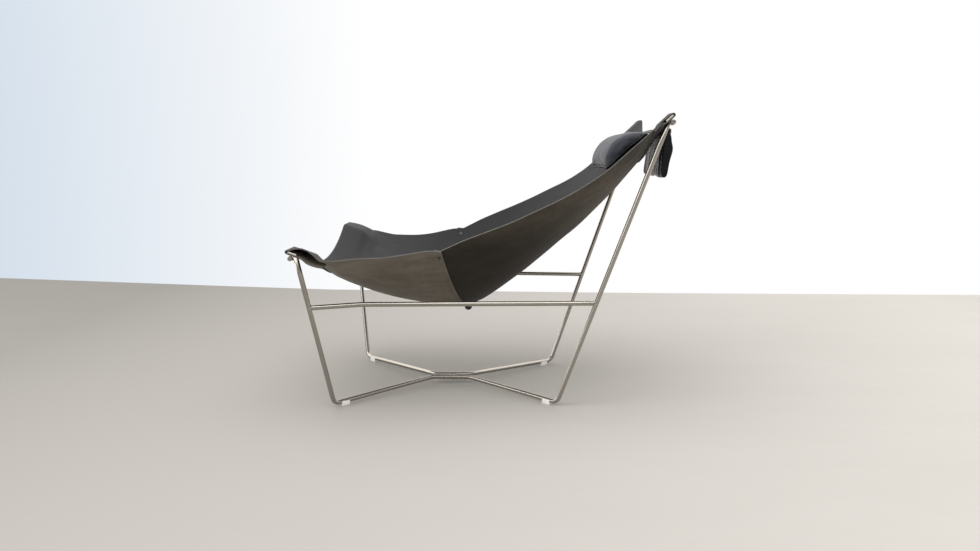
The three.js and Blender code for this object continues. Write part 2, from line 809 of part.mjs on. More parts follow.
function baseNut() {
  const outer = circle(bolt.nutAcross / Math.sqrt(3), 6);
  const nut = new THREE.ExtrudeGeometry(outer, { depth: bolt.nutHigh, bevelEnabled: false });
  nut.translate(0, 0, lug.lowest - clearance - bolt.nutHigh);
  return cut(nut, [pinCutter(bolt.radius + clearance)]);
}

function addFrame(chair) {
  const heads = [
    { name: "front", place: frontHead, axes: frontAxes, foot: frontFoot, spineY: spine.front },
    { name: "rear", place: rearHead, axes: rearAxes, foot: rearFoot, spineY: spine.rear },
  ];
  for (const { name, sign } of sides) {
    chair.add(named(`${name}_side_frame`, sideFrame(sign), steel));
    chair.add(named(`${name}_side_bar`, sideBar(sign), steel));
    chair.add(named(`${name}_base_lug`, baseLug(sign, sign > 0 ? upperLug : lug.lowest), steel));
    for (const end of heads) {
      chair.add(named(`${name}_${end.name}_cross_rod`, crossRod(end.place, end.axes, sign), steel));
      chair.add(named(`${name}_${end.name}_hem_strip`, hemStrip(end.place, end.axes, sign), steel));
      chair.add(named(`${name}_${end.name}_glide`, glideClip(end.foot, end.spineY, sign), white));
      headScrews(end.place, end.axes, sign).forEach((body, index) => {
        chair.add(named(`${name}_${end.name}_strip_screw_${index + 1}`, body, steel));
      });
    }
  }
  chair.add(named("base_bolt", baseBolt(), steel));
  chair.add(named("base_nut", baseNut(), steel));
}

function addSling(chair) {
  const seatPoints = seatGrid();
  const rivets = sides.map(({ sign }) => lapPlace(seatPoints, sign * rivet.edgeShare));
  const seamFloor = seam.sideZ - seam.depth;
  const studY = seam.midY - stud.inFromEdge;
  const rivetHoles = () => rivets.map((place) => throughLap(pinCutter(rivet.shank + clearance), place));
  const studHole = () => pinCutter(stud.shank + clearance).translate(0, studY, seamFloor);
  const seatCuts = [...headCutters(frontHead, frontAxes), ...rivetHoles(), studHole()];
  const backCuts = [...headCutters(rearHead, rearAxes), ...rivetHoles(), studHole()];
  chair.add(named("seat_panel", cut(sheet(seatPoints, leather), seatCuts), flesh));
  chair.add(named("back_panel", cut(sheet(backGrid(seatPoints), leather), backCuts), flesh));
  rivets.forEach((place, index) => {
    chair.add(named(`${sides[index].name}_seam_rivet`, throughLap(rivetBody(), place), steel));
  });
  const flange = seamFloor - leather / 2 - clearance;
  chair.add(named("seam_stud", studBody(flange).translate(0, studY, 0), black));
  chair.add(named("seam_stud_cap", studCap(flange).translate(0, studY, 0), black));
}

function addHeadrest(chair) {
  chair.add(named("headrest_cover", pillowCover(), black));
  chair.add(named("headrest_filling", pillowBody(cover.thick + clearance), white));
  chair.add(named("headrest_strap", strapBand(), black));
  chair.add(named("counterweight_pouch", pouchBody(), black));
  chair.add(named("counterweight_bar", ballastBar(), steel));
}

// The origin is on the floor, under the middle of the chair's outline
function centred(chair) {
  const box = new THREE.Box3().setFromObject(chair);
  const middle = box.getCenter(vector(0, 0, 0));
  chair.position.set(-middle.x, -middle.y, -box.min.z);
  return chair;
}

const chair = new THREE.Group();
addFrame(chair);
addSling(chair);
addHeadrest(chair);

export default centred(chair);
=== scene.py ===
# Looks for a leather sling lounge chair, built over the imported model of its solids.
# x runs to the sitter's left, y to the rear and z up; shapes are worked out in millimetres.

import math

import bmesh
import bpy
import numpy as np
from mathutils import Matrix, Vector, noise
from mathutils.bvhtree import BVHTree


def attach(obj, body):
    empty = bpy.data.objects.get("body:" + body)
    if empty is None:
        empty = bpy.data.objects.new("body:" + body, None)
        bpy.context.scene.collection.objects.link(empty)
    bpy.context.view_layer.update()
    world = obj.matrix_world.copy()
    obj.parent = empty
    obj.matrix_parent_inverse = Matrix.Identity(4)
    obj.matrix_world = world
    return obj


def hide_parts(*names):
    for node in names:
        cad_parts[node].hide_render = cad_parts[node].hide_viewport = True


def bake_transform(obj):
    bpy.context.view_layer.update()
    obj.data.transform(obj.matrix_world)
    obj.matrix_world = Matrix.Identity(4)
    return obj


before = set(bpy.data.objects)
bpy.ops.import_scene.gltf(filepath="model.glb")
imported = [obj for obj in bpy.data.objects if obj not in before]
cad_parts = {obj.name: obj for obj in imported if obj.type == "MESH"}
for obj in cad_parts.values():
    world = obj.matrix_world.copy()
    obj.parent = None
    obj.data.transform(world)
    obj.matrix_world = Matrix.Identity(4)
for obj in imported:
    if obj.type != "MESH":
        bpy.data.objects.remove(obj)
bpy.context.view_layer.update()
millimetre = 0.001
shiftY = -104.273  # from the middle of the base to the middle of the outline
quarters = ((1, 1, 0), (-1, 1, 90), (-1, -1, 180), (1, -1, 270))  # corners, and where their arcs start


def linked(name, data):  # a new object in the scene
    thing = bpy.data.objects.new(name, data)
    bpy.context.scene.collection.objects.link(thing)
    return thing


def facing(thing, way):  # turns a camera or a lamp to look along the way
    thing.rotation_mode = "QUATERNION"
    thing.rotation_quaternion = Vector(way).to_track_quat("-Z", "Y")


# The camera of the photograph

cameraPlace = {
    "at": (2.2352, 0.0786, 0.6577),
    "towards": (-0.98728, -0.03416, -0.15525),
    "lens": 29.94,
    "sensor": 36.0,
    "nearest": 0.05,
}

cameraData = bpy.data.cameras.new("photoCamera")
cameraData.lens = cameraPlace["lens"]
cameraData.sensor_width = cameraPlace["sensor"]
cameraData.clip_start = cameraPlace["nearest"]
camera = linked("photoCamera", cameraData)
camera.location = cameraPlace["at"]
facing(camera, cameraPlace["towards"])
bpy.context.scene.camera = camera
print("camera placed")


# Shader nodes

class Wire:  # a shader socket that Python's operators work on
    def __init__(self, finish, socket):
        self.finish = finish
        self.socket = socket

    def maths(self, operation, *others, clamp=False):
        return self.finish.add("Math", {"operation": operation, "use_clamp": clamp}, [self, *others])

    def __add__(self, other):
        return self.maths("ADD", other)

    def __radd__(self, other):
        return self.maths("ADD", other)

    def __sub__(self, other):
        return self.maths("SUBTRACT", other)

    def __mul__(self, other):
        return self.maths("MULTIPLY", other)

    def __rmul__(self, other):
        return self.maths("MULTIPLY", other)

    def clamped(self):
        return self.maths("ADD", 0.0, clamp=True)


class Finish:  # one material, or another owner of shader nodes, and the nodes that make it
    def __init__(self, name, owner=None):
        self.material = owner or bpy.data.materials.new(name)
        self.material.use_nodes = True
        self.tree = self.material.node_tree
        self.tree.nodes.clear()

    def add(self, kind, settings=None, values=(), out=0):
        node = self.tree.nodes.new("ShaderNode" + kind)
        for key, value in (settings or {}).items():
            setattr(node, key, value)
        for key, value in values.items() if isinstance(values, dict) else enumerate(values):
            target = node.inputs[key]
            if isinstance(value, Wire):
                self.tree.links.new(value.socket, target)
            else:
                target.default_value = (*value, 1.0) if target.type == "RGBA" and len(value) == 3 else value
        return Wire(self, node.outputs[out]) if len(node.outputs) else None

    def place(self, scale=(1, 1, 1), turn=(0, 0, 0)):
        here = self.add("TexCoord", out="Object")
        return self.add("Mapping", values={"Vector": here, "Scale": scale, "Rotation": turn})

    def noise(self, scale, detail, rough, at, distortion=0.0):
        values = {"Vector": at, "Scale": scale, "Detail": detail, "Roughness": rough, "Distortion": distortion}
        return self.add("TexNoise", None, values)

    def between(self, value, low, high, a=0.0, b=1.0):
        values = {"Value": value, "From Min": low, "From Max": high, "To Min": a, "To Max": b}
        return self.add("MapRange", None, values)

    def share(self, value, low, high, a=0.0, b=1.0):
        return self.between(value, low, high, a, b).clamped()

    def mix(self, share, a, b, blend="MIX"):
        return self.add("Mix", {"data_type": "RGBA", "blend_type": blend}, {0: share, 6: a, 7: b}, 2)

    def bump(self, height, depth, strength):
        return self.add("Bump", None, {"Height": height, "Distance": depth, "Strength": strength})

    def surface(self, **values):
        names = {"colour": "Base Color", "roughness": "Roughness", "metallic": "Metallic", "normal": "Normal",
                 "specular": "Specular IOR Level", "sheen": "Sheen Weight", "sheenRoughness": "Sheen Roughness"}
        shader = self.add("BsdfPrincipled", None, {names[key]: value for key, value in values.items()})
        self.add("OutputMaterial", None, {"Surface": shader})
        return self


def scaled(colour, factor):
    return tuple(factor * part for part in colour)


# Finishes: each noise is its scale, its detail and its roughness

grainLook = {
    "black": (0.0125, 0.0128, 0.0138), "worn": (0.022, 0.022, 0.0235), "creaseShade": (0.008, 0.008, 0.009),
    "pebble": 620.0, "fine": 2.6, "drift": (9.0, 4.0, 0.6), "pores": (210.0, 3.0, 0.7),
    "long": (26.0, 5.0, 0.62), "longScale": (1.0, 0.35, 0.6), "relief": (0.00045, 0.55),
}


def grainLeather(name, pebble=1.0, gloss=0.47, creases=0.35, tint=(1.0, 1.0, 1.0), shine=0.2):
    look = grainLook
    finish = Finish(name)
    here = finish.place()
    drift = finish.noise(*look["drift"], here)
    values = {"Vector": here, "Scale": look["pebble"] * pebble}
    cells = finish.add("TexVoronoi", {"feature": "SMOOTH_F1"}, values)
    fine = finish.noise(look["pebble"] * look["fine"] * pebble, 2.0, 0.6, here)
    pores = finish.noise(*look["pores"], here)
    long = finish.noise(*look["long"], finish.place(look["longScale"]), distortion=0.6)
    crease = finish.share((long - 0.5).maths("ABSOLUTE"), 0.0, 0.05, 1.0, 0.0)
    height = cells * 0.55 + fine * 0.25 + pores * 0.35 - crease * creases
    colour = finish.mix(finish.share(drift, 0.35, 0.75) * 0.55, look["black"], look["worn"])
    # painted shade: the leather's colour is darkened along its crease lines
    colour = finish.mix(crease * 0.3, colour, look["creaseShade"])
    colour = finish.mix(1.0, colour, tint, "MULTIPLY")
    rough = gloss + 0.14 * drift - 0.06 + 0.08 * pores
    normal = finish.bump(height, *look["relief"])
    return finish.surface(colour=colour, roughness=rough, normal=normal, specular=shine)


fleshLook = {
    "pale": (0.18, 0.16, 0.126), "dark": (0.1, 0.086, 0.068), "nap": (0.19, 0.17, 0.14),
    # low and high are painted shade on the back's flesh side: its colour is multiplied down to low near the
    # seam, lifts to high partway up as a painted lighter band, then darkens again near the top
    "scuff": (0.05, 0.042, 0.034), "low": (0.165, 0.16, 0.152), "high": (0.59, 0.56, 0.51),
    "broadNoise": (5.5, 5.0, 0.65), "streakNoise": (30.0, 4.0, 0.6), "fibreNoise": (900.0, 3.0, 0.75),
    "napNoise": (160.0, 4.0, 0.7), "scuffNoise": (15.0, 5.0, 0.7), "streakScale": (1.4, 0.35, 1.0),
    "streakTurn": (0, 0, 0.15), "scuffScale": (0.6, 0.5, 2.6), "relief": (0.0006, 0.5),
    "paintedLightFrom": (0.44, 0.6), "paintedShadeFrom": (0.56, 0.645),  # the heights over which the back pales, then darkens
}


def fleshLeather(name, low=(1.0, 1.0, 1.0), high=(1.0, 1.0, 1.0)):
    look = fleshLook
    finish = Finish(name)
    here = finish.place()
    broad = finish.noise(*look["broadNoise"], here)
    streak = finish.noise(*look["streakNoise"], finish.place(look["streakScale"], look["streakTurn"]))
    fibre = finish.noise(*look["fibreNoise"], here)
    nap = finish.noise(*look["napNoise"], here, distortion=1.2)
    colour = finish.mix(finish.share(broad * 0.6 + streak * 0.4, 0.38, 0.66), look["dark"], look["pale"])
    colour = finish.mix(finish.share(nap, 0.3, 0.7) * 0.25, colour, look["nap"])
    scuff = finish.share(finish.noise(*look["scuffNoise"], finish.place(look["scuffScale"])), 0.6, 0.7)
    colour = finish.mix(scuff * 0.45, colour, look["scuff"])
    height = finish.add("SeparateXYZ", None, [finish.add("TexCoord", out="Object")], "Z")
    # painted shade and light by height: the colour is multiplied between low and high, pales partway up and
    # darkens near the top
    paintedTopShade = finish.share(height, *look["paintedShadeFrom"]) * 0.95
    rise = finish.share(height + 0.07 * broad, *look["paintedLightFrom"]) - paintedTopShade
    colour = finish.mix(1.0, colour, finish.mix(rise.clamped(), low, high), "MULTIPLY")
    normal = finish.bump(fibre * 0.5 + nap * 0.5, *look["relief"])
    return finish.surface(colour=colour, roughness=0.86 + 0.08 * fibre, specular=0.25, sheen=0.1,
                          sheenRoughness=0.35, normal=normal)


edgeLook = {
    "pale": (0.12, 0.112, 0.1), "dark": (0.05, 0.046, 0.04),
    "layers": (1400.0, 3.0, 0.7), "patches": (60.0, 3.0, 0.6),
}


def cutEdge(name):
    finish = Finish(name)
    layers = finish.noise(*edgeLook["layers"], finish.place())
    patches = finish.noise(*edgeLook["patches"], finish.place())
    tone = finish.share(layers * 0.6 + patches * 0.4, 0.35, 0.65)
    colour = finish.mix(tone, edgeLook["dark"], edgeLook["pale"])
    return finish.surface(colour=colour, roughness=0.7, normal=finish.bump(layers, 0.0003, 0.5))


def thread(name, colour):
    finish = Finish(name)
    twist = finish.noise(2600.0, 2.0, 0.5, finish.place())
    return finish.surface(colour=finish.mix(twist, colour, scaled(colour, 2.2)), roughness=0.6,
                          normal=finish.bump(twist, 0.0002, 0.6))


steelLook = {
    "brushed": (420.0, 4.0, 0.7), "smudge": (14.0, 4.0, 0.6), "scratch": (90.0, 2.0, 0.5),
    "brushedScale": (1.0, 1.0, 0.12), "scratchScale": (1.0, 1.0, 0.05), "relief": (0.00001, 0.08),
}


def rodSteel(name, shade=(0.37, 0.345, 0.31), rough=0.19):
    look = steelLook
    finish = Finish(name)
    brushed = finish.noise(*look["brushed"], finish.place(look["brushedScale"]))
    smudge = finish.noise(*look["smudge"], finish.place())
    scratch = finish.noise(*look["scratch"], finish.place(look["scratchScale"]))
    rub = finish.share(smudge, 0.4, 0.7)
    colour = finish.mix(rub * 0.35, shade, scaled(shade, 0.86))
    return finish.surface(colour=colour, metallic=1.0, roughness=rough + 0.1 * rub + 0.05 * brushed,
                          normal=finish.bump(brushed * 0.6 + scratch * 0.4, *look["relief"]))


weldLook = {"bright": (0.5, 0.48, 0.45), "heated": (0.33, 0.27, 0.2)}


def weldSteel(name):
    finish = Finish(name)
    ripple = finish.noise(700.0, 3.0, 0.6, finish.place())
    heat = finish.noise(120.0, 2.0, 0.5, finish.place())
    colour = finish.mix(finish.share(heat, 0.4, 0.65) * 0.5, weldLook["bright"], weldLook["heated"])
    return finish.surface(colour=colour, metallic=1.0, roughness=0.38 + 0.1 * ripple,
                          normal=finish.bump(ripple, 0.0003, 0.5))


def mouldedPlastic(name, colour, rough):
    finish = Finish(name)
    speck = finish.noise(1500.0, 2.0, 0.5, finish.place())
    scuff = finish.noise(70.0, 4.0, 0.65, finish.place())
    worn = finish.share(scuff, 0.52, 0.72)
    shade = finish.mix(worn * 0.35, colour, tuple(0.72 * part + 0.02 for part in colour))
    return finish.surface(colour=shade, roughness=rough + 0.12 * worn, normal=finish.bump(speck, 0.00012, 0.3))


finishes = {
    "grain": grainLeather("sling_grain", shine=0.13),
    "flesh": fleshLeather("seat_flesh"),
    # the back panel's flesh side is a darker copy of the seat's, painted shade
    "fleshBackPaintedShade": fleshLeather("back_flesh_painted_shade", fleshLook["low"], fleshLook["high"]),
    "edge": cutEdge("leather_cut_edge"),
    "pillow": grainLeather("pillow_leather", 1.5, 0.42, 0.25, (2.1, 2.35, 2.8)),
    "piping": grainLeather("piping_leather", 2.0, 0.46, 0.0, (0.3, 0.3, 0.34)),
    "strap": grainLeather("strap_leather", 1.2, 0.46, 0.3),
    "pouch": grainLeather("pouch_leather", 1.4, 0.3, 0.3, (0.6, 0.6, 0.65)),
    "thread": thread("black_thread", (0.012, 0.012, 0.013)),
    "rod": rodSteel("rod_steel"),
    "strip": rodSteel("strip_steel", (0.66, 0.63, 0.58), 0.3),
    "fitting": rodSteel("fitting_steel", (0.17, 0.16, 0.15), 0.42),
    "rivet": rodSteel("rivet_steel", (0.09, 0.086, 0.08), 0.5),
    "weld": weldSteel("weld_steel"),
    "ballast": rodSteel("ballast_steel", (0.4, 0.39, 0.38), 0.45),
    "glide": mouldedPlastic("glide_plastic", (0.93, 0.93, 0.92), 0.38),
    "stud": mouldedPlastic("stud_plastic", (0.012, 0.012, 0.012), 0.22),
}
print("finishes made")


# Making meshes

def shownSmooth(mesh, smooth=True):
    mesh.polygons.foreach_set("use_smooth", [smooth] * len(mesh.polygons))


def pieceFrom(name, points, faces, finish, smooth=True, slots=None):
    mesh = bpy.data.meshes.new(name)
    mesh.from_pydata([tuple(p) for p in points], [], faces)
    for each in finish if isinstance(finish, list) else [finish]:
        mesh.materials.append(finishes[each].material)
    if slots is not None:
        mesh.polygons.foreach_set("material_index", slots)
    shownSmooth(mesh, smooth)
    mesh.update()
    return linked(name, mesh)


def dressed(piece, body, slot, *nodes):  # parents the piece to its body and hides the CAD nodes that it stands for
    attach(piece, body)
    if nodes:
        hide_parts(*nodes)
    return piece


def metres(points):
    return (np.asarray(points, float) + np.array([0.0, shiftY, 0.0])) * millimetre


def unit(way):
    return way / np.linalg.norm(way)


def lengthsAlong(line):  # how far each of a line's points lies from its first, along the line
    return np.concatenate([[0.0], np.cumsum(np.linalg.norm(np.diff(line, axis=0), axis=1))])


def applied(piece):  # the piece with its modifiers worked into its mesh
    depsgraph = bpy.context.evaluated_depsgraph_get()
    mesh = bpy.data.meshes.new_from_object(piece.evaluated_get(depsgraph), depsgraph=depsgraph)
    piece.modifiers.clear()
    piece.data = mesh
    return piece


def refined(piece, levels):
    change = piece.modifiers.new("refine", "SUBSURF")
    change.levels = change.render_levels = levels
    return applied(piece)


def creasedBySharpness(piece, degrees):
    chosen = {"object": piece, "active_object": piece,
              "selected_objects": [piece], "selected_editable_objects": [piece]}
    with bpy.context.temp_override(**chosen):
        bpy.ops.object.shade_smooth_by_angle(angle=math.radians(degrees))
    return piece


def fixNormals(piece):
    work = bmesh.new()
    work.from_mesh(piece.data)
    bmesh.ops.remove_doubles(work, verts=work.verts, dist=1e-6)
    bmesh.ops.recalc_face_normals(work, faces=work.faces)
    work.to_mesh(piece.data)
    work.free()


def through(points, count, closed=False):  # a smooth line through the points, at count places
    p = np.asarray(points, float)
    n = len(p)
    last = n if closed else n - 1

    def pick(k):
        return p[k % n] if closed else p[min(max(k, 0), n - 1)]

    out = []
    for place in np.linspace(0, last, count, endpoint=not closed):
        i = min(int(place), last - 1)
        w = place - i
        a, b, c, d = (pick(i + step) for step in (-1, 0, 1, 2))
        leave, arrive = (c - a) * 0.5, (d - b) * 0.5
        cubic = 2 * b - 2 * c + leave + arrive
        square = -3 * b + 3 * c - 2 * leave - arrive
        out.append(cubic * w ** 3 + square * w ** 2 + leave * w + b)
    return np.array(out)


def evenly(points, steps):  # a smooth line that doesn't overshoot where its points stand unevenly
    p = np.asarray(points, float)
    p = np.vstack([2 * p[0] - p[1], p, 2 * p[-1] - p[-2]])
    gaps = np.linalg.norm(np.diff(p, axis=0), axis=1)
    t = np.concatenate([[0.0], np.cumsum(np.sqrt(np.maximum(gaps, 1e-6)))])

    def part(a, b, low, high, at):
        return a + (b - a) * (at - low) / (high - low)

    out = []
    for i in range(1, len(p) - 2):
        for w in np.linspace(t[i], t[i + 1], steps, endpoint=False):
            a = [part(p[j], p[j + 1], t[j], t[j + 1], w) for j in (i - 1, i, i + 1)]
            b = [part(a[k], a[k + 1], t[i - 1 + k], t[i + 1 + k], w) for k in (0, 1)]
            out.append(part(b[0], b[1], t[i], t[i + 1], w))
    return np.array(out + [p[-2]])


def easeBetween(value, low, high):
    share = np.clip((value - low) / (high - low), 0.0, 1.0)
    return share * share * (3 - 2 * share)


def roundedRectangle(halfLong, halfWide, radius, steps):
    outline = []
    for cx, cy, first in quarters:
        for step in range(steps + 1):
            angle = math.radians(first + 90 / steps * step)
            outline.append((cx * (halfLong - radius) + radius * math.cos(angle),
                            cy * (halfWide - radius) + radius * math.sin(angle)))
    return outline


# Rods

rods = {
    "radius": 6.0,
    "floorToRod": 10.0,
    "frontFoot": (241.0, -285.0),
    "rearFoot": (210.5, 285.0),
    "spine": {"x": 16.6, "front": -56.3, "rear": 50.3, "height": 19.4},
    "footBend": 22.0,
    "spineBend": 34.0,
    "bar": {"height": 274.9, "bendX": 271.2, "bendY": -201.2, "bend": 60.0},
    "sides": 36,
    "bendSteps": 14,
    "span": 60,
    "endRound": 0.8,
    "trimAbove": 60,
    "trimDepth": 0.05,
}
heads = {
    "front": {"y": -349.6, "z": 400.9, "end": 367.6, "tilt": -19.1, "facing": 1, "legIn": 8.4, "legPast": 10.0,
              "legBack": 12.6, "foot": rods["frontFoot"], "spineY": rods["spine"]["front"]},
    "rear": {"y": 542.9, "z": 716.3, "end": 294.3, "tilt": 43.5, "facing": -1, "legIn": 16.1, "legPast": 3.0,
             "legBack": -8.4, "foot": rods["rearFoot"], "spineY": rods["spine"]["rear"]},
}
headLength = 60.0
leather = 2.8
gap = 0.3
returnPly = rods["radius"] + gap + leather / 2
stripLow = returnPly + leather / 2 + gap
stripThick = 4.0
upperPly = stripLow + stripThick + gap + leather / 2


def roundedPath(corners, radii):  # a line through the corners, with an arc at each of the inner ones
    corners = [np.asarray(corner, float) for corner in corners]
    line = [corners[0]]
    for before, corner, after, radius in zip(corners, corners[1:], corners[2:], radii):
        into, away = unit(corner - before), unit(after - corner)
        angle = math.acos(np.clip(into @ away, -1, 1))
        inward = np.cross(unit(np.cross(into, away)), into)
        centre = corner - into * radius * math.tan(angle / 2) + inward * radius
        for step in range(rods["bendSteps"] + 1):
            turn = angle * step / rods["bendSteps"]
            line.append(centre + (into * math.sin(turn) - inward * math.cos(turn)) * radius)
    return np.array(line + [corners[-1]])


def ringsAlong(line, radius, sides, endRound):  # rings of points round a line, drawn in at its ends
    line = np.asarray(line, float)
    ways = np.gradient(line, axis=0)
    ways[0], ways[-1] = line[1] - line[0], line[-1] - line[-2]
    ways /= np.linalg.norm(ways, axis=1)[:, None]
    side = unit(np.cross(ways[0], [0.3, 0.2, 1.0]))
    shoulder = [(0.0, 1.0), (0.3, 0.3), (1.0, 0.0)]  # how far in each ring is and how much narrower, as shares
    stations = [(line[0] + ways[0] * endRound * far, ways[0], radius - endRound * less)
                for far, less in shoulder]
    stations += [(p, w, radius) for p, w in zip(line[1:-1], ways[1:-1])]
    stations += [(line[-1] - ways[-1] * endRound * far, ways[-1], radius - endRound * less)
                 for far, less in reversed(shoulder)]
    points = []
    for centre, way, reach in stations:
        side = unit(side - way * (side @ way))
        other = np.cross(way, side)
        for k in range(sides):
            angle = 2 * math.pi * k / sides
            points.append(centre + reach * (side * math.cos(angle) + other * math.sin(angle)))
    return points, len(stations)


def tubeFaces(rings, sides):
    faces = []
    for i in range(rings - 1):
        for k in range(sides):
            a, b = i * sides + k, i * sides + (k + 1) % sides
            faces.append((a, b, b + sides, a + sides))
    faces.append(tuple(reversed(range(sides))))
    faces.append(tuple((rings - 1) * sides + k for k in range(sides)))
    return faces


def rodPiece(name, corners):  # a round rod along the line, which gets more points where it runs straight
    line = [np.asarray(corners[0], float)]
    for a, b in zip(np.asarray(corners[:-1], float), np.asarray(corners[1:], float)):
        steps = max(1, int(np.linalg.norm(b - a) // rods["span"]))
        line += [a + (b - a) * k / steps for k in range(1, steps + 1)]
    points, rings = ringsAlong(line, rods["radius"], rods["sides"], rods["endRound"])
    return creasedBySharpness(pieceFrom(name, metres(points), tubeFaces(rings, rods["sides"]), "rod"), 40)


def headAxes(tilt, facing):
    slope = math.radians(tilt)
    along = np.array([math.cos(slope), math.sin(slope)]) * facing
    return along, np.array([-math.sin(slope), math.cos(slope)])


def headPoint(head, axes, along, up):
    return np.array([head["y"], head["z"]]) + axes[0] * along + axes[1] * up


def legPoint(head, sign, height):
    share = (height - rods["floorToRod"]) / (head["z"] - rods["floorToRod"])
    x = head["foot"][0] + (head["end"] - head["legIn"] - head["foot"][0]) * share
    y = head["foot"][1] + (head["y"] + head["legBack"] - head["foot"][1]) * share
    return np.array([sign * x, y, height])


def trimmed(piece):  # leg tops are ground off level with the cross rods' tops
    for head in heads.values():
        axes = headAxes(head["tilt"], head["facing"])
        top = headPoint(head, axes, 0, rods["radius"] - rods["trimDepth"])
        work = bmesh.new()
        work.from_mesh(piece.data)
        low = (head["z"] - rods["trimAbove"]) * millimetre
        verts = [v for v in work.verts if v.co.y * head["facing"] < 0 and v.co.z > low]
        near = set(verts)
        rest = [part for part in [*work.edges, *work.faces] if set(part.verts) <= near]
        cut = bmesh.ops.bisect_plane(work, geom=verts + rest, plane_co=Vector(metres([[0, *top]])[0]),
                                     plane_no=Vector((0, *axes[1])), clear_outer=True)
        rim = [part for part in cut["geom_cut"] if isinstance(part, bmesh.types.BMEdge)]
        bmesh.ops.holes_fill(work, edges=rim)
        work.to_mesh(piece.data)
        work.free()
    return piece


def sideFrame(name, sign):
    def foot(corner):
        return (sign * corner[0], corner[1], rods["floorToRod"])

    def top(head):
        return legPoint(head, sign, head["z"] + head["legPast"])

    spine, front, rear = rods["spine"], heads["front"], heads["rear"]
    corners = [top(front), foot(front["foot"]), (sign * spine["x"], spine["front"], spine["height"]),
               (sign * spine["x"], spine["rear"], spine["height"]), foot(rear["foot"]), top(rear)]
    line = roundedPath(corners, [rods["footBend"], rods["spineBend"], rods["spineBend"], rods["footBend"]])
    dressed(trimmed(rodPiece(f"{name}_side_rod", line)), "chair", "steel_rod", f"{name}_side_frame")


welds = {"radius": 1.25, "around": 72, "section": 8, "ripple": 0.16, "ripples": 15, "reach": 80, "barLow": 200}


def weldBead(name, crossing, outWay, legWay):  # a bead where one rod meets another's side
    outWay = unit(outWay)
    side = unit(np.cross(outWay, unit(legWay)))
    other = np.cross(side, outWay)
    around, section = welds["around"], welds["section"]
    points, faces = [], []
    for k in range(around):
        angle = 2 * math.pi * k / around
        spoke = side * math.cos(angle) + other * math.sin(angle)
        foot = crossing + spoke * rods["radius"] + outWay * rods["radius"] * abs(math.sin(angle))
        swell = welds["radius"] * (1.0 + welds["ripple"] * math.sin(angle * welds["ripples"]))
        later = (k + 1) % around
        for m in range(section):
            turn = 2 * math.pi * m / section
            beside = (m + 1) % section
            points.append(foot + swell * (spoke * math.cos(turn) + outWay * math.sin(turn)))
            faces.append((k * section + m, k * section + beside, later * section + beside, later * section + m))
    dressed(pieceFrom(name, metres(points), faces, "weld"), "chair", "steel_rod")


def sideBar(name, sign):
    bar = rods["bar"]
    ends = [legPoint(head, sign, bar["height"]) for head in heads.values()]
    line = roundedPath([ends[0], (sign * bar["bendX"], bar["bendY"], bar["height"]), ends[1]], [bar["bend"]])
    dressed(rodPiece(f"{name}_bar_rod", line), "chair", "steel_rod", f"{name}_side_bar")
    for end, at, inner, leg in (("front", line[0], line[1], ends[0]), ("rear", line[-1], line[-2], ends[1])):
        weldBead(f"{name}_{end}_bar_weld", at, inner - at, legPoint(heads[end], sign, welds["barLow"]) - leg)


def crossRod(name, end, sign):
    head = heads[end]
    ends = [(sign * reach, head["y"], head["z"]) for reach in (head["end"], head["end"] - headLength)]
    dressed(rodPiece(f"{name}_{end}_short_rod", ends), "chair", "steel_rod", f"{name}_{end}_cross_rod")
    if end == "front":
        sidewaysWeld(f"{name}_{end}_leg_weld", head, sign)
    else:
        top, below = (legPoint(head, sign, head["z"] - down) for down in (0.0, welds["reach"]))
        crossing = np.array([top[0], head["y"], head["z"]])
        weldBead(f"{name}_{end}_leg_weld", crossing, below - top, np.array([1.0, 0, 0]))


sideWeld = {"half": 5.5, "steps": 9, "up": 3.2, "bow": 0.04, "radius": 1.3, "sides": 10, "endRound": 0.5}


def sidewaysWeld(name, head, sign):  # two runs of bead between the front leg and the rod that lies against it
    shape = sideWeld
    leg = legPoint(head, sign, head["z"])
    middle = (leg[1] + head["y"]) / 2
    for tag, up in (("upper", 1), ("lower", -1)):
        line = [(leg[0] + dx, middle, head["z"] + up * (shape["up"] + shape["bow"] * dx * dx))
                for dx in np.linspace(-shape["half"], shape["half"], shape["steps"])]
        points, rings = ringsAlong(line, shape["radius"], shape["sides"], shape["endRound"])
        piece = pieceFrom(f"{name}_{tag}", metres(points), tubeFaces(rings, shape["sides"]), "weld")
        dressed(piece, "chair", "steel_rod")


# Strips and glides

strip = {"length": 48.8, "width": 22.5, "corner": 2.5, "inset": 5.6, "bevel": 0.5, "cornerSteps": 4}


def hemStrip(name, end, sign):
    head = heads[end]
    axes = headAxes(head["tilt"], head["facing"])
    long, wide, bevel = strip["length"], strip["width"], strip["bevel"]
    middle = sign * (head["end"] - strip["inset"] - long / 2)
    outline = roundedRectangle(long / 2, wide / 2, strip["corner"], strip["cornerSteps"])
    layers = ((0, bevel), (bevel, 0), (stripThick - bevel, 0), (stripThick, bevel))
    points = []
    for up, inset in layers:
        for px, py in outline:
            along = py * (1 - 2 * inset / wide)
            spot = headPoint(head, (axes[0] * head["facing"], axes[1]), along, stripLow + up)
            points.append((middle + px * (1 - 2 * inset / long), *spot))
    faces = tubeFaces(len(layers), len(outline))
    piece = pieceFrom(f"{name}_{end}_strip", metres(points), faces, "strip", smooth=False)
    dressed(piece, "chair", "steel_strip", f"{name}_{end}_hem_strip")


glideShape = {
    "length": 23.0, "width": 15.0, "height": 12.4, "fromCorner": 32.0, "corner": 2.2, "bore": 6.15,
    "boreSteps": 25, "boreWall": 0.2, "bevel": 1.1, "lip": 0.8, "cornerStep": 15, "lift": 6,
    "ends": ((0.0, 0.9), (0.35, 0.965), (1.0, 1.0)),  # shares of the bevel, and the outline's size there
}


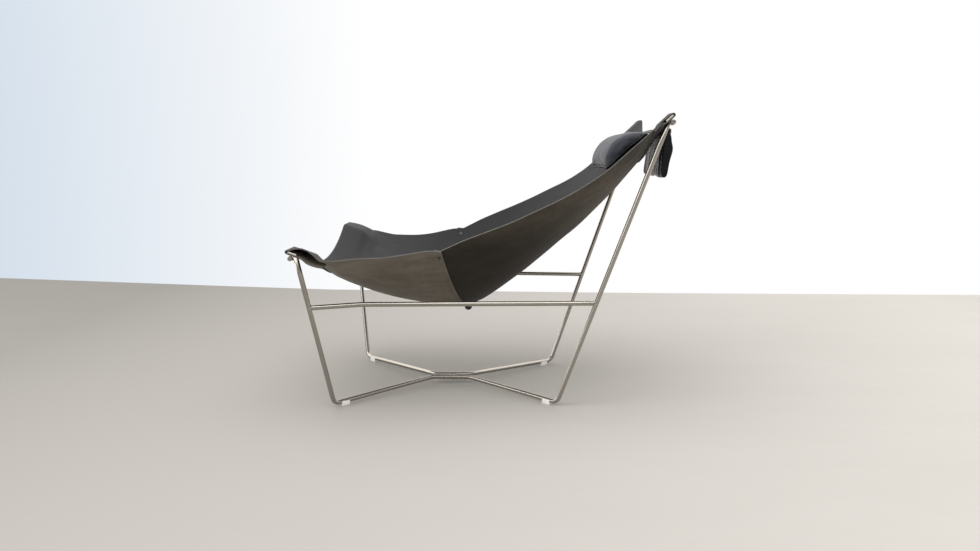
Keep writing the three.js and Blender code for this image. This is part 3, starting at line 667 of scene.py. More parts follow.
def glideOutline(boreHeight):
    shape = glideShape
    half, high, bore = shape["width"] / 2, shape["height"], shape["bore"]
    corner, lip = shape["corner"], shape["lip"]

    def cornerArc(x, first):
        angles = [math.radians(first + turn) for turn in range(0, 91, shape["cornerStep"])]
        return [(x + corner * math.cos(a), corner + corner * math.sin(a)) for a in angles]

    mouth = math.acos(min(1.0, (high - boreHeight) / bore))
    turns = np.linspace(mouth, 2 * math.pi - mouth, shape["boreSteps"])
    outline = cornerArc(half - corner, 270) + [(half, high - lip), (half - lip, high)]
    outline += [(bore * math.sin(a), boreHeight + bore * math.cos(a)) for a in turns]
    return outline + [(-half + lip, high), (-half, high - lip)] + cornerArc(-half + corner, 180)


def glide(name, end, sign):
    head, shape, spine = heads[end], glideShape, rods["spine"]
    corner = np.array([sign * head["foot"][0], head["foot"][1], rods["floorToRod"]])
    towards = unit(np.array([sign * spine["x"], head["spineY"], spine["height"]]) - corner)
    centre = corner + towards * shape["fromCorner"]
    run = unit(np.array([towards[0], towards[1], 0.0]))
    side = np.cross(run, [0, 0, 1.0])
    outline = glideOutline(centre[2])
    half = shape["length"] / 2
    sections = [(-half + share * shape["bevel"], size) for share, size in shape["ends"]]
    sections += [(half - share * shape["bevel"], size) for share, size in reversed(shape["ends"])]
    points = []
    for along, size in sections:
        for px, pz in outline:
            if math.hypot(px, pz - centre[2]) >= shape["bore"] + shape["boreWall"]:
                px, pz = px * size, max(pz, (1 - size) * shape["lift"])
            points.append(centre * [1, 1, 0] + run * along + side * px + np.array([0, 0, pz]))
    piece = pieceFrom(f"{name}_{end}_clip", metres(points), tubeFaces(len(sections), len(outline)), "glide")
    fixNormals(piece)
    dressed(creasedBySharpness(piece, 38), "chair", "glide_plastic", f"{name}_{end}_glide")


for sideName, sideSign in (("left", 1), ("right", -1)):
    sideFrame(sideName, sideSign)
    sideBar(sideName, sideSign)
    for endName in ("front", "rear"):
        crossRod(sideName, endName, sideSign)
        hemStrip(sideName, endName, sideSign)
        glide(sideName, endName, sideSign)
print("frame made")


# The sling's two panels, from the lines of their sides and middles

seam = {"sideY": 6.0, "sideZ": 408.0, "midY": 52.0, "depth": 184.5, "halfWidth": 285.0, "lap": 18.0, "skew": 9.0}
seatPanel = {
    "head": "front", "halfWidth": 362.0, "reach": 75.0, "nosePast": 1.2, "midNose": 2.4, "puff": 15.4,
    "droop": 7.7, "heldDroop": 0.0, "midDroop": 0.0, "sag": 71.0, "draw": -2.0, "midTilt": -33.0, "rows": 44,
    "farPuff": 0.25, "tuckShares": (0.74, 0.86), "tuckPast": (200.0, 300.0), "midReturn": 0.55,
    "along": [0, 0.12, 0.33, 0.5, 0.68, 0.84, 1], "sideSag": [0, 0.012, -0.036, -0.056, -0.05, -0.036, 0],
    "midSag": [0, -0.045, -0.094, -0.118, -0.111, -0.066, 0],
    "upper": [[0.9, 0.1], [0.58, 0.75], [0.4, 0.98], [0.2, 0.95], [0.013, 0.55], [-0.13, 0.06]],
    "under": [[0.24, 0], [0.373, 0.29], [0.533, 0.87], [0.773, 1], [1.027, 0.69]],
    "sideLift": 7.5, "farDrop": 0.0, "spans": 11, "seed": 2.0,
}
backPanel = {
    "head": "rear", "halfWidth": 288.0, "reach": 75.0, "nosePast": 0.6, "midNose": 2.4, "puff": 3.0,
    "droop": -3.3, "heldDroop": -3.3, "midDroop": -6.3, "sag": 62.0, "draw": -11.2, "midTilt": 64.4, "rows": 52,
    "farPuff": 0.0, "tuckShares": (0.7, 0.82), "tuckPast": (20.0, 36.0), "midReturn": 1.0,
    "along": [0, 0.1, 0.214, 0.355, 0.553, 0.667, 0.77, 0.874, 1],
    "sideSag": [0, -0.016, -0.075, -0.142, -0.198, -0.213, -0.186, -0.108, 0],
    "midSag": [0, -0.075, -0.129, -0.167, -0.188, -0.188, -0.15, -0.1, 0],
    "upper": [[0.507, 0.8], [0.33, 1], [0.16, 1], [0, 0.5]],
    "under": [[0, 0], [0.16, 0], [0.28, 0.15], [0.43, 0.45], [0.6, 1]],
    "sideLift": 0.0, "farDrop": 5.5, "spans": 13, "seed": 7.0,
}
sling = {
    "columns": 76, "flatFrom": 0.8, "bellyCurve": 1.7, "skewEnd": 0.25, "skewFade": 0.4, "softness": 1.1,
    "foldSpans": 4, "smoothSteps": 4, "lapRows": 5, "settle": 14.0, "plyGap": 0.5, "edgeBulge": 0.35,
    "broadWave": (0.008, 0.012, 0.012, 1.3), "fineWave": (0.03, 0.011, 0.02, 0.45), "pull": 0.7, "pulls": 34,
    "pullShift": 1.3, "pullRows": (0.72, 0.93), "pullColumns": (0.35, 0.8), "waveFrom": (0.03, 0.2),
    "waveUntil": (0.9, 1.0), "liftUntil": (0.7, 0.97), "dropFrom": (0.25, 0.8), "dropUntil": (0.84, 1.0),
    "bridge": (0.33, 0.66),
}
columns = np.linspace(-1, 1, sling["columns"] + 1)


def hemSection(head, axes, hem, kind):
    puff = hem["puff"] if kind == "end" else 0.0
    droop = {"end": hem["droop"], "held": hem["heldDroop"], "middle": hem["midDroop"]}[kind]
    nose = hem["midNose"] if kind == "middle" else (upperPly - returnPly) / 2
    fold = -strip["width"] / 2 - hem["nosePast"]
    line = [headPoint(head, axes, a * hem["reach"], returnPly + 2 * nose + r * puff) for a, r in hem["upper"]]
    for angle in np.linspace(0, math.pi, sling["foldSpans"] + 1):
        up = returnPly + nose + nose * math.cos(angle)
        line.append(headPoint(head, axes, fold - nose * math.sin(angle), up))
    line += [headPoint(head, axes, a * hem["reach"], returnPly - f * droop) for a, f in hem["under"]]
    return np.array(line)


def sagLine(start, end, hem, sag):
    points = [start + (end - start) * a + np.array([0, s * seam["depth"]]) for a, s in zip(hem["along"], sag)]
    return through(points, hem["rows"] + 1)


def panelRows(hem):  # rows across the panel, from the seam to the end of the hem's return
    head = heads[hem["head"]]
    axes = headAxes(head["tilt"], head["facing"])
    midHead = {"y": head["y"] + hem["draw"], "z": head["z"] - hem["sag"]}
    end = hemSection(head, axes, hem, "end")
    held = hemSection(head, axes, hem, "held")
    middle = hemSection(midHead, headAxes(hem["midTilt"], head["facing"]), hem, "middle")
    sideLine = sagLine(np.array([seam["sideY"], seam["sideZ"]]), end[0], hem, hem["sideSag"])
    midLine = sagLine(np.array([seam["midY"], seam["sideZ"] - seam["depth"]]), middle[0], hem, hem["midSag"])
    lastSpan = 1 - 1 / hem["spans"]
    rows = []
    for i in range(hem["rows"]):
        share = i / hem["rows"]
        hemmed = 0.5 * max(0.0, (share - lastSpan) / (1 - lastSpan))
        rows.append({"share": share, "hemmed": hemmed, "side": sideLine[i], "held": sideLine[i],
                     "middle": midLine[i]})
    steps = sling["smoothSteps"]
    lines = [evenly(np.vstack([before, after]), steps)[steps:]
             for before, after in ((sideLine[-4], end), (sideLine[-4], held), (midLine[-4], middle))]
    for i, (side, heldPoint, mid) in enumerate(zip(*lines)):
        hemmed = min(1.0, 0.5 + i / (2 * steps))
        rows.append({"share": 1.0, "hemmed": hemmed, "side": side, "held": heldPoint, "middle": mid})
    hem["noseRow"] = hem["rows"] + steps * len(hem["upper"])
    hem["returnRow"] = hem["noseRow"] + steps * sling["foldSpans"]
    for row in rows:
        row["halfWidth"] = seam["halfWidth"] + (hem["halfWidth"] - seam["halfWidth"]) * row["share"]
    return rows


def rowPoint(row, across, hem):
    t, share, hemmed = abs(across), row["share"], row["hemmed"]
    sagging = min(1.0, (t / sling["flatFrom"]) ** 2)

    def opened(power):
        return t ** power + (sagging - t ** power) * hemmed

    belly = 1 + (sling["bellyCurve"] - 1) * min(1.0, share / sling["skewEnd"])
    free = max(0.0, (t - sling["flatFrom"]) / (1 - sling["flatFrom"]))
    outer = row["held"] + (row["side"] - row["held"]) * free * (hem["farPuff"] if across < 0 else 1.0)
    y = row["middle"][0] + (outer[0] - row["middle"][0]) * opened(belly)
    z = row["middle"][1] + (outer[1] - row["middle"][1]) * opened(sling["bellyCurve"])
    pastSeam = easeBetween(share, 0.0, sling["skewFade"])
    lift = hem["sideLift"] * math.copysign(1, across) * t * t
    window = pastSeam * (1 - easeBetween(share, *sling["liftUntil"])) * (1 - hemmed)
    low = 0.0
    if across <= 0 and hemmed < 0.5:  # the far edge alone hangs lower
        low = hem["farDrop"] * t * t * easeBetween(share, *sling["dropFrom"])
        low *= 1 - easeBetween(share, *sling["dropUntil"])
    y -= seam["skew"] * across * (1 - pastSeam)  # the seam runs a little askew
    return np.array([across * row["halfWidth"], y, z + lift * window - low])


def gridNormals(grid):
    normal = np.cross(np.gradient(grid, axis=1), np.gradient(grid, axis=0))
    return normal / np.linalg.norm(normal, axis=2)[:, :, None]


def tuckedUnder(grid, hem):  # the hem's return lies against the panel above it, but for its ends on the strips
    away = gridNormals(grid) * (-1 if hem["head"] == "front" else 1)
    ply = leather + sling["plyGap"]
    for j, across in enumerate(columns):
        free = 1 - easeBetween(abs(across), *hem["tuckShares"])
        panel, normals = grid[: hem["noseRow"] + 1, j][::-1], away[: hem["noseRow"] + 1, j][::-1]
        reach = lengthsAlong(panel)
        back = grid[hem["returnRow"]:, j]
        travelled = lengthsAlong(back)
        for k in range(1, len(back)):
            past = travelled[k] * (1 - (1 - hem["midReturn"]) * free)
            spot, up = (np.array([np.interp(past, reach, table[:, axis]) for axis in range(3)])
                        for table in (panel, normals))
            settled = easeBetween(travelled[k], 0.0, sling["settle"])
            depth = 2 * hem["midNose"] * (1 - settled) + ply * settled
            loose = max(free, easeBetween(travelled[k], *hem["tuckPast"]))
            point = back[k] + (spot - up * depth - back[k]) * loose
            high = (point - spot) @ up + ply
            grid[hem["returnRow"] + k, j] = point - up * max(0.0, high) * settled
    return grid


def softened(grid, rows, seed):  # the leather isn't quite even: broad soft waves, and pulls at the held corners
    normals = gridNormals(grid)
    out = grid.copy()

    def wave(p, scaleX, scaleY, scaleZ, size):
        return size * noise.noise(Vector((p[0] * scaleX + seed, p[1] * scaleY, p[2] * scaleZ)))

    for i, row in enumerate(rows):
        share = row["share"]
        calm = easeBetween(share, *sling["waveFrom"]) * (1 - row["hemmed"])
        calm *= 1 - easeBetween(share, *sling["waveUntil"])
        if calm <= 0:
            continue
        for j, across in enumerate(columns):
            p = grid[i, j]
            waves = wave(p, *sling["broadWave"]) + wave(p, *sling["fineWave"])
            pull = math.sin(across * sling["pulls"] + sling["pullShift"] * seed)
            pull *= easeBetween(share, *sling["pullRows"]) * easeBetween(abs(across), *sling["pullColumns"])
            out[i, j] = p + normals[i, j] * calm * (sling["softness"] * waves + sling["pull"] * pull)
    return out


def panelGrid(hem):
    rows = panelRows(hem)
    grid = np.array([[rowPoint(row, across, hem) for across in columns] for row in rows])
    return softened(tuckedUnder(grid, hem), rows, hem["seed"]), rows


def sheetPiece(name, grid, thickness, materials):
    normals = gridNormals(grid)
    deep, wide = grid.shape[:2]

    def at(face, i, j):
        return (face * deep + i) * wide + j

    faces, slots = [], []
    for i in range(deep - 1):
        for j in range(wide - 1):
            faces.append((at(0, i, j), at(0, i, j + 1), at(0, i + 1, j + 1), at(0, i + 1, j)))
            faces.append((at(1, i, j), at(1, i + 1, j), at(1, i + 1, j + 1), at(1, i, j + 1)))
            slots += [0, 1]
    loop = [(0, j) for j in range(wide)] + [(i, wide - 1) for i in range(1, deep)]
    loop += [(deep - 1, j) for j in reversed(range(wide - 1))] + [(i, 0) for i in reversed(range(1, deep - 1))]
    edge = []
    for i, j in loop:
        outward = grid[i, j] - grid[min(max(i, 1), deep - 2), min(max(j, 1), wide - 2)]
        edge.append(grid[i, j] + outward / max(np.linalg.norm(outward), 1e-9) * sling["edgeBulge"])
    start, count = 2 * deep * wide, len(loop)
    for k in range(count):
        a, b = loop[k], loop[(k + 1) % count]
        m, n = start + k, start + (k + 1) % count
        faces += [(at(0, *a), m, n, at(0, *b)), (m, at(1, *a), at(1, *b), n)]
        slots += [2, 2]
    top, low = grid + normals * thickness / 2, grid - normals * thickness / 2
    points = np.concatenate([top.reshape(-1, 3), low.reshape(-1, 3), np.array(edge)])
    return creasedBySharpness(pieceFrom(name, metres(points), faces, materials, slots=slots), 50)


def flatArea(grid):
    a, b = grid[1:, :-1] - grid[:-1, :-1], grid[:-1, 1:] - grid[:-1, :-1]
    return float(np.linalg.norm(np.cross(a, b), axis=2).sum() * 1e-6)


def flatSize(grid):  # the cut's greatest width and length, along the leather
    wide = np.linalg.norm(np.diff(grid, axis=1), axis=2).sum(axis=1).max()
    long = np.linalg.norm(np.diff(grid, axis=0), axis=2).sum(axis=0).max()
    return (round(float(wide) * millimetre, 3), round(float(long) * millimetre, 3))


def lapOf(grid, length):  # the rows of a panel that lie within a length of its last row, evenly spaced
    distance = np.linalg.norm(grid - grid[-1][None], axis=2).mean(axis=1)
    rows = []
    for reach in np.linspace(length, 0, sling["lapRows"]):
        k = max(i for i in range(len(grid)) if distance[i] >= reach - 1e-9)
        after = min(k + 1, len(grid) - 1)
        span = distance[k] - distance[after]
        w = 0.0 if span < 1e-9 else (distance[k] - reach) / span
        rows.append(grid[k] * (1 - w) + grid[after] * w)
    return np.array(rows)


def makeSling():
    seatGrid = panelGrid(seatPanel)[0][::-1]
    backGrid, backRows = panelGrid(backPanel)
    lap = lapOf(seatGrid, seam["lap"])
    lifted = lap + gridNormals(lap) * (leather + gap)
    skip = 1 + int(len([row for row in backRows if row["share"] < 1]) / backPanel["spans"])
    bridge = [lifted[-1] * (1 - w) + backGrid[skip] * w for w in sling["bridge"]]
    backGrid = np.concatenate([lifted, np.array(bridge), backGrid[skip:]])
    grids = {"seat": seatGrid, "back": backGrid}
    underside = {"seat": "flesh", "back": "fleshBackPaintedShade"}
    for name, grid in grids.items():
        piece = sheetPiece(f"{name}_sling", grid, leather, ["grain", underside[name], "edge"])
        dressed(piece, "chair", "sling_leather", f"{name}_panel")
        print("flat", name, flatSize(grid), round(flatArea(grid), 4))
    flatArea(seatGrid)
    flatArea(backGrid)
    return lap


lapGrid = makeSling()
lapNormals = gridNormals(lapGrid)
print("sling made")


# Geometry trees for what repeats or follows a line

class Tree:
    def __init__(self, name, inputs):
        self.group = bpy.data.node_groups.new(name, "GeometryNodeTree")
        face = self.group.interface
        face.new_socket(name="Geometry", in_out="INPUT", socket_type="NodeSocketGeometry")
        self.keys = {}
        for label, value in {"Finish": None, **inputs}.items():
            kind = "NodeSocketMaterial" if value is None else "NodeSocketFloat"
            socket = face.new_socket(name=label, in_out="INPUT", socket_type=kind)
            if value is not None:
                socket.default_value = value
            self.keys[label] = socket.identifier
        face.new_socket(name="Geometry", in_out="OUTPUT", socket_type="NodeSocketGeometry")
        self.start = self.group.nodes.new("NodeGroupInput")
        self.end = self.group.nodes.new("NodeGroupOutput")

    def add(self, kind, values, settings=None):
        node = self.group.nodes.new(kind)
        for key, value in (settings or {}).items():
            setattr(node, key, value)
        for key, value in values.items():
            if isinstance(value, bpy.types.NodeSocket):
                self.group.links.new(value, node.inputs[key])
            else:
                node.inputs[key].default_value = value
        return node.outputs[0]

    def given(self, label):
        return self.start.outputs[label]

    def copies(self, points, thing, axis, way, size):  # the thing at each point, its axis turned along the way
        sizes = self.add("ShaderNodeCombineXYZ", {k: self.given(label) for k, label in enumerate(size)})
        turn = self.add("FunctionNodeAlignRotationToVector", {"Vector": way}, {"axis": axis})
        values = {"Points": points, "Instance": thing, "Rotation": turn, "Scale": sizes}
        return self.add("GeometryNodeInstanceOnPoints", values)

    def close(self, geometry):
        real = self.add("GeometryNodeRealizeInstances", {"Geometry": geometry})
        done = self.add("GeometryNodeSetMaterial", {"Geometry": real, "Material": self.given("Finish")})
        self.group.links.new(done, self.end.inputs[0])
        return self

    def run(self, piece, finish, **values):
        change = piece.modifiers.new("tree", "NODES")
        change.node_group = self.group
        change[self.keys["Finish"]] = finishes[finish].material
        for label, value in values.items():
            change[self.keys[label]] = value
        applied(piece)
        shownSmooth(piece.data)
        return piece


def stitchTree():
    tree = Tree("stitch_row", {"Spacing": 0.0055, "Length": 0.0042, "Thickness": 0.0009})
    curve = tree.add("GeometryNodeMeshToCurve", {"Mesh": tree.given("Geometry")})
    values = {"Curve": curve, "Length": tree.given("Spacing")}
    even = tree.add("GeometryNodeResampleCurve", values, {"mode": "LENGTH"})
    bead = tree.add("GeometryNodeMeshUVSphere", {"Segments": 8, "Rings": 5, "Radius": 0.5})
    way = tree.add("GeometryNodeInputTangent", {})
    return tree.close(tree.copies(even, bead, "X", way, ("Length", "Thickness", "Thickness")))


def cordTree():
    tree = Tree("piping", {"Radius": 0.0016})
    curve = tree.add("GeometryNodeMeshToCurve", {"Mesh": tree.given("Geometry")})
    profile = tree.add("GeometryNodeCurvePrimitiveCircle", {"Resolution": 10, "Radius": tree.given("Radius")})
    values = {"Curve": curve, "Profile Curve": profile, "Fill Caps": True}
    return tree.close(tree.add("GeometryNodeCurveToMesh", values))


def domeTree():
    tree = Tree("rivet_heads", {"Radius": 0.0045, "Height": 0.0016})
    ball = tree.add("GeometryNodeMeshUVSphere", {"Segments": 24, "Rings": 12, "Radius": 1.0})
    way = tree.add("GeometryNodeInputNamedAttribute", {"Name": "facing"}, {"data_type": "FLOAT_VECTOR"})
    return tree.close(tree.copies(tree.given("Geometry"), ball, "Z", way, ("Radius", "Radius", "Height")))


stitchRow, pipingCord, rivetHeads = stitchTree(), cordTree(), domeTree()


def linePiece(name, points, closed=False):
    mesh = bpy.data.meshes.new(name)
    count = len(points)
    edges = [(k, (k + 1) % count) for k in range(count if closed else count - 1)]
    mesh.from_pydata([tuple(p) for p in points], edges, [])
    return linked(name, mesh)


def stitches(name, points, body, slot, closed=False, **values):
    dressed(stitchRow.run(linePiece(name, points, closed), "thread", **values), body, slot)


# Stitches, rivets and the stud at the seam

seamStitches = {"rows": (0.3, 0.68), "sink": 0.15}
rivets = {"edgeShare": 0.955, "radius": 3.8, "height": 1.2}


def seamRows():  # one row's threads show on the sitter's side and under the seat panel
    for number, share in enumerate(seamStitches["rows"], 1):
        place = share * (len(lapGrid) - 1)
        i, w = int(place), place - int(place)
        line = lapGrid[i] * (1 - w) + lapGrid[i + 1] * w
        for tag, up in (("inner", leather * 1.5 + gap), ("under", -leather * 0.5)):
            off = up + math.copysign(seamStitches["sink"], up)
            points = metres(line + lapNormals[i] * off)
            stitches(f"seam_stitches_{tag}_{number}", points, "chair", "sling_leather")


def seamRivets(name, sign):
    i, j = len(lapGrid) // 2, int(np.argmin(np.abs(columns - sign * rivets["edgeShare"])))
    middle, normal = lapGrid[i, j], lapNormals[i, j]
    spots = [middle + normal * (1.5 * leather + gap), middle - normal * (0.5 * leather)]
    mesh = bpy.data.meshes.new(f"{name}_rivet_heads")
    mesh.from_pydata([tuple(p) for p in metres(spots)], [], [])
    ways = mesh.attributes.new("facing", "FLOAT_VECTOR", "POINT")
    ways.data.foreach_set("vector", np.array([normal, -normal], np.float32).ravel())
    piece = linked(f"{name}_rivet_heads", mesh)
    rivetHeads.run(piece, "rivet", Radius=rivets["radius"] * millimetre, Height=rivets["height"] * millimetre)
    dressed(piece, "chair", "steel_fittings", f"{name}_seam_rivet")


seamRows()
seamRivets("left", 1)
seamRivets("right", -1)

studShape = {
    "radius": 10.5, "height": 13.0, "drum": 3.25, "inFromEdge": 7.0, "rim": 0.6, "axis": 0.05, "domeSteps": 14,
    "sides": 48, "cap": 5.0, "capThick": 2.6, "capGap": 1.5, "capSide": 1.3, "capShoulder": (0.8, 2.0),
    "capFlat": 2.5,
}


def turnedPiece(name, outline, at):
    sides = studShape["sides"]
    points = []
    for radius, height in outline:
        for k in range(sides):
            angle = 2 * math.pi * k / sides
            points.append((at[0] + radius * math.cos(angle), at[1] + radius * math.sin(angle), at[2] + height))
    piece = pieceFrom(name, metres(points), tubeFaces(len(outline), sides), "stud")
    fixNormals(piece)
    return creasedBySharpness(piece, 40)


def seamStud():
    shape = studShape
    radius, axis, rim, cap, thick = (shape[key] for key in ("radius", "axis", "rim", "cap", "capThick"))
    low = seam["sideZ"] - seam["depth"] - leather / 2 - gap
    y = seam["midY"] - shape["inFromEdge"]
    dome = [(axis, -shape["height"])]
    for k in range(1, shape["domeSteps"] + 1):
        angle = k / shape["domeSteps"] * math.pi / 2
        drop = (shape["height"] - shape["drum"]) * math.cos(angle)
        dome.append((radius * math.sin(angle), -shape["drum"] - drop))
    dome += [(radius, -rim), (radius - rim, 0.0), (axis, 0.0)]
    inset, shoulder = shape["capShoulder"]
    button = [(axis, 0), (cap, 0), (cap, shape["capSide"]), (cap - inset, shoulder), (shape["capFlat"], thick),
              (axis, thick)]
    dressed(turnedPiece("seam_dome", dome, (0.0, y, low)), "chair", "stud_plastic", "seam_stud")
    top = low + 2 * leather + shape["capGap"]
    dressed(turnedPiece("seam_dome_cap", button, (0.0, y, top)), "chair", "stud_plastic", "seam_stud_cap")


seamStud()
print("seam made")


# The headrest pillow

pillowShape = {
    "y": 398.4, "z": 600.3, "tilt": 40.9, "depth": 137.5, "crown": 41.5, "belly": 23.5, "halfWidth": 190.0,
    "outline": [[0, 0], [0.02, 0.22], [0.1, 0.52], [0.2, 0.77], [0.32, 0.93], [0.47, 1], [0.66, 0.84],
                [0.84, 0.5], [1, 0], [0.87, -0.32], [0.62, -0.7], [0.38, -1], [0.13, -0.64]], "upper": 8,
    "width": [-1, -0.93, -0.75, -0.4, 0, 0.4, 0.75, 0.93, 1],
    "fullness": [0.3, 0.5, 0.7, 0.9, 1, 0.9, 0.7, 0.5, 0.3],
    "corner": 16.0, "sections": 44, "round": 64, "voxel": 0.0045, "pressure": 3.2, "cap": 0.006, "inset": 3.0,
    "piping": 3.1, "baseCorner": 9.0, "baseGrow": 1.05, "lean": 4.0, "endLift": 5.0, "endBulge": 5.0,
    "tuckReach": 2.2, "endShares": (0.25, 0.5, 0.75), "baseStep": 4, "baseSteps": 6,
    "liftAcross": (0.85, 0.98), "liftAlong": (0.05, 0.3),
}
clothRun = {"frames": 20, "quality": 5}
gathers = {
    "rise": 0.0011, "dip": 0.0016, "broad": 0.0019, "crease": 0.0008, "fade": 0.013, "below": 0.004,
    "near": 0.012, "endsNear": 0.02, "groove": 0.0035, "broadScale": 20, "creaseScale": (60, 26, 26),
    "ripple": (520, 2.2, 140, 0.6), "fineRipple": (830, 0.4),
}


def pillowPoint(x, along, up):
    shape = pillowShape
    slope = math.radians(shape["tilt"])
    depth = along * shape["baseGrow"] * shape["depth"]
    low = shape["lean"] * (1 - x / shape["halfWidth"]) / 2
    return (x, shape["y"] + depth * math.cos(slope) - up * math.sin(slope),
            shape["z"] + depth * math.sin(slope) + up * math.cos(slope) - low)


def seamHeight(x, along):  # the seam round the base runs a little higher along the ends
    shape = pillowShape
    ends = easeBetween(abs(x) / shape["halfWidth"], *shape["liftAcross"])
    return shape["endLift"] * ends * easeBetween(along, *shape["liftAlong"])


def pillowSection(x, tuck):  # the leather's outline at one place across, drawn in by the tuck above its base
    shape = pillowShape
    inset, outline, last = shape["inset"], shape["outline"], shape["upper"]
    fullness = np.interp(x / shape["halfWidth"], shape["width"], shape["fullness"])
    halves = (outline[: last + 1], outline[last:] + [outline[0]])
    points = []
    for along, height in np.vstack([through(half, shape["round"] // 2 + 1)[:-1] for half in halves]):
        drawn = inset + tuck * min(1.0, max(0.0, height) * shape["tuckReach"])
        up = height * (shape["crown"] - drawn) if height > 0 else height * (shape["belly"] * fullness - inset)
        points.append(pillowPoint(x, 0.5 + (along - 0.5) * (1 - 2 * drawn / shape["depth"]), up))
    return np.array(points)


def pillowMesh(name):
    shape = pillowShape
    flat, corner, around = shape["halfWidth"] - shape["inset"] - shape["corner"], shape["corner"], shape["round"]
    turns = [math.radians(18 * k) for k in range(1, 6)]
    ends = [(flat + corner * math.sin(a), corner * (1 - math.cos(a))) for a in turns]
    stations = [(-x, tuck) for x, tuck in reversed(ends)]
    stations += [(x, 0.0) for x in np.linspace(-flat, flat, shape["sections"])] + ends
    rings = [pillowSection(*station) for station in stations]
    points = np.concatenate(rings)
    faces = []
    for i in range(len(rings) - 1):
        a, b = i * around, (i + 1) * around
        faces += [(a + k, b + k, b + (k + 1) % around, a + (k + 1) % around) for k in range(around)]
    for side, ring, start in ((-1, rings[0], 0), (1, rings[-1], (len(rings) - 1) * around)):
        middle = ring.mean(axis=0)
        last = [start + k for k in range(around)]
        for share in shape["endShares"]:
            inner = ring + (middle - ring) * share
            inner[:, 0] += side * shape["endBulge"] * (1 - (1 - share) ** 2)
            now = [len(points) + k for k in range(around)]
            points = np.concatenate([points, inner])
            faces += [(last[k], last[(k + 1) % around], now[(k + 1) % around], now[k]) for k in range(around)]
            last = now
        points = np.concatenate([points, [middle + [side * shape["endBulge"], 0, 0]]])
        faces += [(last[k], last[(k + 1) % around], len(points) - 1) for k in range(around)]
    piece = pieceFrom(name, metres(points), faces, "pillow")
    fixNormals(piece)
    return piece


def moved(piece, points):
    piece.data.vertices.foreach_set("co", points.ravel())
    piece.data.update()


def plumped(piece):  # remeshed evenly, then blown up a little as cloth
    remesh = piece.modifiers.new("even", "REMESH")
    remesh.mode = "VOXEL"
    remesh.voxel_size = pillowShape["voxel"]
    applied(piece)
    rest = np.array([v.co for v in piece.data.vertices])
    cloth = piece.modifiers.new("fill", "CLOTH")
    cloth.settings.use_pressure = True
    cloth.settings.uniform_pressure_force = pillowShape["pressure"]
    cloth.settings.effector_weights.gravity = 0
    cloth.settings.quality = clothRun["quality"]
    for step in range(1, clothRun["frames"] + 1):
        bpy.context.scene.frame_set(step)
    applied(piece)
    bpy.context.scene.frame_set(1)
    change = np.array([v.co for v in piece.data.vertices]) - rest
    scale = np.minimum(1.0, pillowShape["cap"] / np.maximum(np.linalg.norm(change, axis=1), 1e-9))
    moved(piece, rest + change * scale[:, None])


def baseLine(margin, lift):  # round the pillow's base, where its upper leather is sewn to its underside
    shape = pillowShape
    line = roundedRectangle(shape["halfWidth"] - margin, shape["depth"] / 2 - margin, shape["baseCorner"],
                            shape["baseSteps"])
    dense = []
    for (ax, ay), (bx, by) in zip(line, line[1:] + line[:1]):
        steps = max(1, int(math.hypot(bx - ax, by - ay) / shape["baseStep"]))
        dense += [(ax + (bx - ax) * k / steps, ay + (by - ay) * k / steps) for k in range(steps)]
    shares = [(x, 0.5 + y / shape["depth"]) for x, y in dense]
    return metres([pillowPoint(x, along, lift + seamHeight(x, along)) for x, along in shares])


def snapped(points, piece, lift):  # the points set just above the piece's skin
    work = bmesh.new()
    work.from_mesh(piece.data)
    tree = BVHTree.FromBMesh(work)
    nearest = [tree.find_nearest(Vector(p))[:2] for p in points]
    work.free()
    return [tuple(spot + normal * lift) for spot, normal in nearest]


def gathered(piece):  # gathers rise from the seam round the base, and the leather is softly uneven
    shape, look = pillowShape, gathers
    points = np.array([v.co for v in piece.data.vertices])
    normals = np.array([v.normal for v in piece.data.vertices])
    slope = math.radians(shape["tilt"])
    x, depth = points[:, 0], shape["depth"] * millimetre
    y, z = points[:, 1] - (shape["y"] + shiftY) * millimetre, points[:, 2] - shape["z"] * millimetre
    along, up = y * math.cos(slope) + z * math.sin(slope), z * math.cos(slope) - y * math.sin(slope)
    up = up - np.array([seamHeight(px / millimetre, a / depth) for px, a in zip(x, along)]) * millimetre
    inside = shape["halfWidth"] * millimetre - np.abs(x)
    rising = np.exp(-np.clip(up, 0, None) / look["fade"]) * (up > -look["below"])
    place = np.where(inside < look["endsNear"], along, x)
    often, sway, swayOften, size = look["ripple"]
    ripple = np.sin(place * often + sway * np.sin(place * swayOften)) * size
    ripple += np.sin(place * look["fineRipple"][0]) * look["fineRipple"][1]
    nearEdge = np.minimum(np.minimum(np.clip(along, 0, None), depth - along), inside) < look["near"]
    dip = np.exp(-(up / look["groove"]) ** 2) * nearEdge
    broad = np.array([noise.noise(Vector(p * look["broadScale"])) for p in points])
    crease = np.array([noise.noise(Vector(p * look["creaseScale"])) for p in points])
    shift = look["rise"] * rising * ripple - look["dip"] * dip
    shift += look["broad"] * broad + look["crease"] * np.clip(crease, 0, 1)
    moved(piece, points + normals * shift[:, None])


def makePillow():
    piece = pillowMesh("headrest_pillow")
    plumped(piece)
    gathered(piece)
    refined(piece, 1)
    shownSmooth(piece.data)
    piece.data.materials.clear()
    piece.data.materials.append(finishes["pillow"].material)
    dressed(piece, "headrest", "pillow_leather", "headrest_cover", "headrest_filling")
    cord = linePiece("pillow_piping", snapped(baseLine(1.0, -1.0), piece, 0.0003), True)
    pipingCord.run(cord, "piping", Radius=pillowShape["piping"] * millimetre)
    dressed(cord, "headrest", "pillow_leather")
    stitches("pillow_stitches", snapped(baseLine(0.5, 7.0), piece, 0.0001), "headrest", "pillow_leather", True,
             Spacing=0.0045, Length=0.0034, Thickness=0.0007)
    print("pillow vertices", len(piece.data.vertices))


makePillow()
print("pillow made")


# The strap over the top hem

